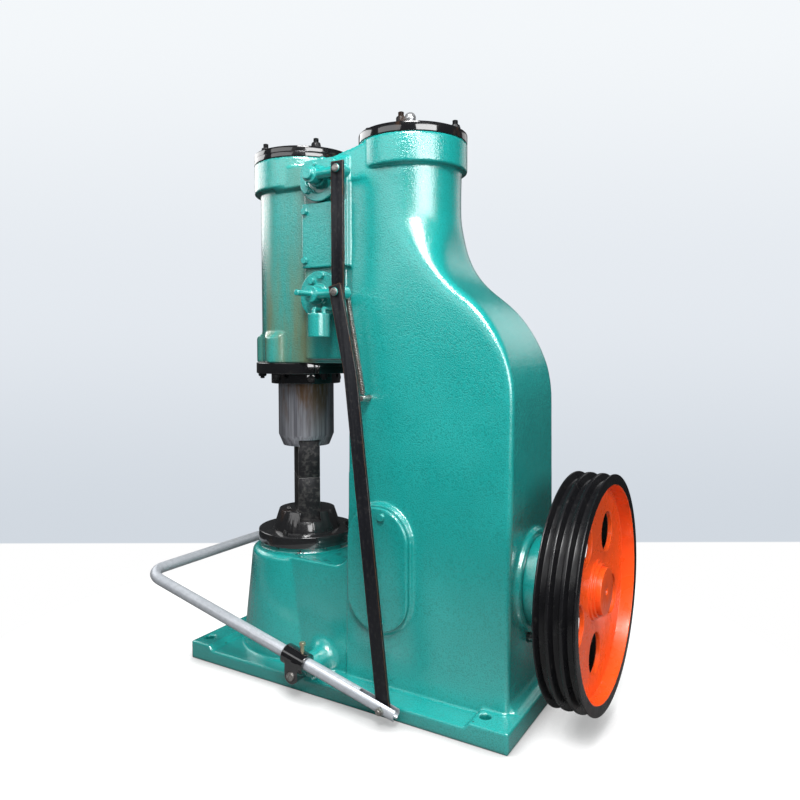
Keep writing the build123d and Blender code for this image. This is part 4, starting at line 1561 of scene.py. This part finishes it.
@dataclass
class Pulley:
    """The grooved belt pulley and the crankshaft's end."""

    edge: float = 0.0016
    width: float = 0.075
    rim: float = 0.022
    grooves: int = 3
    groove_depth: float = 0.014
    groove_width: float = 0.019
    groove_root: float = 0.0104
    web_inset: float = 0.027
    web: float = 0.0095
    bore: float = 0.0461
    hub_radius: float = 0.058
    hub_inset: float = 0.022
    step_radius: float = 0.052
    step: float = 0.006
    holes: int = 5
    hole_radius: float = 0.040
    hole_circle: float = 0.125
    hole_start_deg: float = 52.0
    overrun: float = 0.003
    centre_radius: float = 0.0075
    centre_share: float = 0.35
    shaft_edge: float = 0.0018

    def build(self, paints: Paints) -> None:
        """Make the pulley and the shaft's end, in the given finishes."""
        seat(self.wheel(), Body.PULLEY, Slot.ORANGE, paints.pulley, "belt_pulley")
        seat(self.shaft(), Body.PULLEY, Slot.ORANGE, paints.pulley, "crankshaft")

    def wheel(self) -> bpy.types.Object:
        """Turn the wheel and cut the holes in its web."""
        low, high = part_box("belt_pulley")
        shape = bmesh.new()
        at = (low.x, (low.y + high.y) / 2.0, (low.z + high.z) / 2.0)
        place = turned_to(Way.BACK.value, at)
        add_lathe(shape, eased(self.outline(high.x - low.x, (high.z - low.z) / 2.0), self.edge), place, 192)
        bmesh.ops.remove_doubles(shape, verts=shape.verts, dist=JOIN)
        mesh = bpy.data.meshes.new("wheel")
        shape.to_mesh(mesh)
        shape.free()
        cutter = self.cutter(high.x - self.web_inset, at)
        cut = {"operation": "DIFFERENCE", "solver": "EXACT", "object": cutter}
        mesh = shaped("grooved_pulley", mesh, [("BOOLEAN", cut)])
        bpy.data.objects.remove(cutter)
        return mesh_piece("grooved_pulley", mesh, CRISP_DEG)

    def outline(self, face: float, radius: float) -> list[Point2]:
        """Give the wheel's closed section, as radius over length.

        Args:
            face: The length from the hub's front to the rim's rear face.
            radius: The rim's radius.

        Returns:
            The section's points.
        """
        inner = radius - self.rim
        front = face - self.width
        web_rear = face - self.web_inset
        web_front = web_rear - self.web
        points = [(self.bore, 0.0), (self.hub_radius, 0.0), (self.hub_radius, web_front), (inner, web_front)]
        points += [(inner, front), (radius, front)]
        pitch = self.width / self.grooves
        for number in range(self.grooves):
            centre = front + pitch * (number + 0.5)
            root = radius - self.groove_depth
            points += [(radius, centre - self.groove_width / 2.0), (root, centre - self.groove_root / 2.0)]
            points += [(root, centre + self.groove_root / 2.0), (radius, centre + self.groove_width / 2.0)]
        hub = face - self.hub_inset
        points += [(radius, face), (inner, face), (inner, web_rear), (self.hub_radius, web_rear)]
        points += [(self.hub_radius, hub), (self.step_radius, hub), (self.step_radius, hub + self.step)]
        return points + [(self.bore, hub + self.step), (self.bore, 0.0)]

    def cutter(self, web_rear: float, at: Point3) -> bpy.types.Object:
        """Make the round cutters for the web's holes, with flared ends for soft edges.

        Args:
            web_rear: Where the web's rear face lies, along X.
            at: The wheel's axis.

        Returns:
            The cutters as one object.
        """
        thin, wide = self.hole_radius, self.hole_radius + self.edge
        ends = (-self.web - self.overrun, -self.web, -self.web + self.edge, -self.edge, 0.0, self.overrun)
        radii = (wide, wide, thin, thin, wide, wide)
        outline = [(0.0, ends[0]), *zip(radii, ends), (0.0, ends[-1])]
        shape = bmesh.new()
        for number in range(self.holes):
            turn = math.radians(self.hole_start_deg + number * 360.0 / self.holes)
            y = at[1] + self.hole_circle * math.cos(turn)
            z = at[2] + self.hole_circle * math.sin(turn)
            add_lathe(shape, outline, turned_to(Way.BACK.value, (web_rear, y, z)), 64)
        return new_piece("web_cutter", shape)

    def shaft(self) -> bpy.types.Object:
        """Turn the crankshaft's end, with the lathe's centre hole in its face."""
        low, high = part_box("crankshaft")
        radius = (high.z - low.z) / 2.0
        length = high.x - low.x
        hole = self.centre_radius
        drill = hole * self.centre_share
        bottom = length - hole * 1.6
        face = [(0.0, 0.0), (radius, 0.0), (radius, length), (hole, length), (drill, length - hole)]
        outline = eased(face, self.shaft_edge) + [(drill, bottom), (0.0, bottom)]
        shape = bmesh.new()
        at = (low.x, (low.y + high.y) / 2.0, (low.z + high.z) / 2.0)
        add_lathe(shape, outline, turned_to(Way.BACK.value, at), 128)
        return new_piece("shaft_end", shape)


@dataclass(frozen=True)
class Softbox:
    """A lamp that faces the hammer's middle, by its direction from -Y towards +X."""

    name: str
    azimuth_deg: float
    height_deg: float
    distance: float
    size: Point2
    watts: float
    mirrored: bool = True
    aim: Point3 = (0.0, 0.0, 0.6)

    def hang(self) -> None:
        """Hang the lamp, out of the camera's sight."""
        turn = math.radians(self.azimuth_deg)
        rise = math.radians(self.height_deg)
        way = Vector((math.sin(turn) * math.cos(rise), -math.cos(turn) * math.cos(rise), math.sin(rise)))
        data = bpy.data.lights.new(self.name, "AREA")
        data.shape = "RECTANGLE"
        data.size, data.size_y = self.size
        data.energy = self.watts
        lamp = bpy.data.objects.new(self.name, data)
        lamp.location = Vector(self.aim) + way * self.distance
        lamp.rotation_euler = way.to_track_quat("Z", "Y").to_euler()
        lamp.visible_camera = False
        lamp.visible_glossy = self.mirrored
        bpy.context.scene.collection.objects.link(lamp)


@dataclass
class Studio:
    """Camera, lamps, pale floor and background."""

    camera_at: Point3 = (0.87398, -1.35479, 0.73489)
    azimuth_deg: float = 30.9123
    pitch_deg: float = 2.5798
    roll_deg: float = -0.1114
    picture: float = 800.0
    focal_pixels: float = 701.874
    centre_row: float = 381.763
    lamps: tuple[Softbox, ...] = (
        Softbox("key_softbox", 30.0, 47.0, 2.4, (0.8, 0.6), 58.0),
        Softbox("right_softbox", 58.0, 17.7, 2.8, (1.9, 1.35), 44.0),
        Softbox("left_softbox", -92.0, 24.0, 2.85, (2.6, 0.9), 18.0),
        Softbox("rear_softbox", 166.0, 21.0, 2.8, (1.4, 0.9), 2.8),
        Softbox("front_panel", -18.0, 24.0, 2.8, (2.4, 0.8), 7.0),
        Softbox("top_softbox", 10.0, 78.0, 2.2, (1.8, 1.6), 62.0, mirrored=False),
    )
    floor_radius: float = 0.98
    floor_colour: Colour = (0.26, 0.26, 0.26)
    floor_faint: Colour = (0.25, 0.25, 0.255)
    floor_line: float = -0.2772
    backdrop_low: Colour = (0.640, 0.690, 0.750)
    backdrop_mid: Colour = (0.780, 0.820, 0.870)
    backdrop_high: Colour = (0.905, 0.935, 0.960)
    room: Colour = (0.030, 0.032, 0.034)
    bounce: Colour = (0.13, 0.13, 0.13)
    painted_contact_reach: float = 0.07
    shade: float = 0.30
    glow: float = 0.84
    fill: Colour = (0.95, 0.98, 1.0)
    fill_strength: float = 0.14

    def build(self) -> None:
        """Set up the camera, the lamps, the floor and the world."""
        self.camera()
        for lamp in self.lamps:
            lamp.hang()
        self.floor()
        self.world()

    def camera(self) -> None:
        """Stand the camera where the photograph was taken from."""
        turn = math.radians(self.azimuth_deg)
        pitch = math.radians(self.pitch_deg)
        back = Vector((math.sin(turn) * math.cos(pitch), -math.cos(turn) * math.cos(pitch), math.sin(pitch)))
        right = Vector((math.cos(turn), math.sin(turn), 0.0))
        up = back.cross(right)
        frame = Matrix((right, up, back)).transposed().to_4x4()
        roll = Matrix.Rotation(math.radians(self.roll_deg), 4, "Z")
        data = bpy.data.cameras.new("photo_camera")
        data.sensor_width = 36.0
        data.lens = self.focal_pixels * data.sensor_width / self.picture
        data.shift_y = (self.centre_row - self.picture / 2.0) / self.picture
        camera = bpy.data.objects.new("photo_camera", data)
        camera.matrix_world = Matrix.Translation(self.camera_at) @ frame @ roll
        bpy.context.scene.collection.objects.link(camera)
        bpy.context.scene.camera = camera

    def floor(self) -> None:
        """Lay the white floor that keeps the hammer's shadow, with a painted contact shadow along the
        hammer's foot.
        """
        shape = bmesh.new()
        bmesh.ops.create_circle(shape, cap_ends=True, segments=96, radius=self.floor_radius)
        floor = new_piece("studio_floor", shape)
        shader = Shader("floor_look")
        nodes = shader.tree.nodes
        seen = nodes.new("ShaderNodeLightPath").outputs["Is Camera Ray"]
        faint = shader.step(shader.noise(0.3, 2.0), 0.3, 0.7, 0.0, 0.02)
        colour = shader.mix(faint, self.floor_colour, self.floor_faint)
        colour = shader.mix(seen, self.bounce, colour)
        shader.done(Base_Color=colour, Roughness=0.7)
        # Painted contact shadow: the glow that the camera sees dims where the AO node finds the hammer close.
        near = shader.node("ShaderNodeAmbientOcclusion", Distance=self.painted_contact_reach)
        near.samples = 12
        clear = shader.step(near.outputs["AO"], 0.50, 1.0, self.shade, self.glow)
        strength = shader.times(seen, clear)
        glow = shader.node("ShaderNodeEmission", Color=(1.0, 1.0, 1.0), Strength=strength)
        both = nodes.new("ShaderNodeAddShader")
        shader.feed(both.inputs[0], shader.surface.outputs[0])
        shader.feed(both.inputs[1], glow.outputs[0])
        shader.feed(nodes["Material Output"].inputs["Surface"], both.outputs[0])
        floor.data.materials.append(shader.material)

    def world(self) -> None:
        """Paint the pale background, the dim room behind the camera and the fill light."""
        world = bpy.data.worlds.new("studio")
        bpy.context.scene.world = world
        world.use_nodes = True
        tree = world.node_tree
        tree.nodes.clear()
        wires = WorldWires(tree)
        turn = math.radians(self.azimuth_deg)
        ahead = wires.dot((-math.sin(turn), math.cos(turn), 0.0))
        height = wires.dot((0.0, 0.0, 1.0))
        level = wires.sum("SQRT", wires.sum("SUBTRACT", 1.0, wires.sum("POWER", height, 2.0)))
        depth = wires.sum("MAXIMUM", wires.sum("ABSOLUTE", ahead), wires.times(level, 0.75))
        slope = wires.sum("DIVIDE", height, wires.sum("MAXIMUM", depth, 0.001))
        wall = wires.mix(wires.step(slope, self.floor_line, 0.10), self.backdrop_low, self.backdrop_mid)
        wall = wires.mix(wires.step(slope, 0.05, 0.5), wall, self.backdrop_high)
        white = (1.0, 1.0, 1.0)
        pale = wires.mix(wires.step(slope, self.floor_line - 0.001, self.floor_line + 0.001), white, wall)
        path = tree.nodes.new("ShaderNodeLightPath")
        seen = wires.sum("MAXIMUM", path.outputs["Is Camera Ray"], path.outputs["Is Transmission Ray"])
        soft = tuple(channel * self.fill_strength for channel in self.fill)
        colour = wires.mix(path.outputs["Is Glossy Ray"], soft, self.room)
        colour = wires.mix(seen, colour, pale)
        back = tree.nodes.new("ShaderNodeBackground")
        wires.feed(back.inputs["Color"], colour)
        out = tree.nodes.new("ShaderNodeOutputWorld")
        tree.links.new(back.outputs[0], out.inputs["Surface"])


def main() -> None:
    """Build the hammer's looks round its frame, piece by piece."""
    logging.basicConfig(level=logging.INFO, format="%(message)s")
    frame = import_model()
    bpy.context.scene.view_settings.view_transform = "Standard"
    paints = Paints()
    Studio().build()
    for assembly in (
        Casting(),
        CylinderHeads(),
        Gland(),
        RamAndDies(),
        ValveGear(),
        Links(),
        ReturnSpring(),
        Treadle(),
        Covers(),
        Pulley(),
    ):
        assembly.build(paints)
    bolt = frame["nodes"]["foot_bolt"].data.materials
    bolt.clear()
    bolt.append(paints.zinc)


if __name__ == "__main__":
    main()
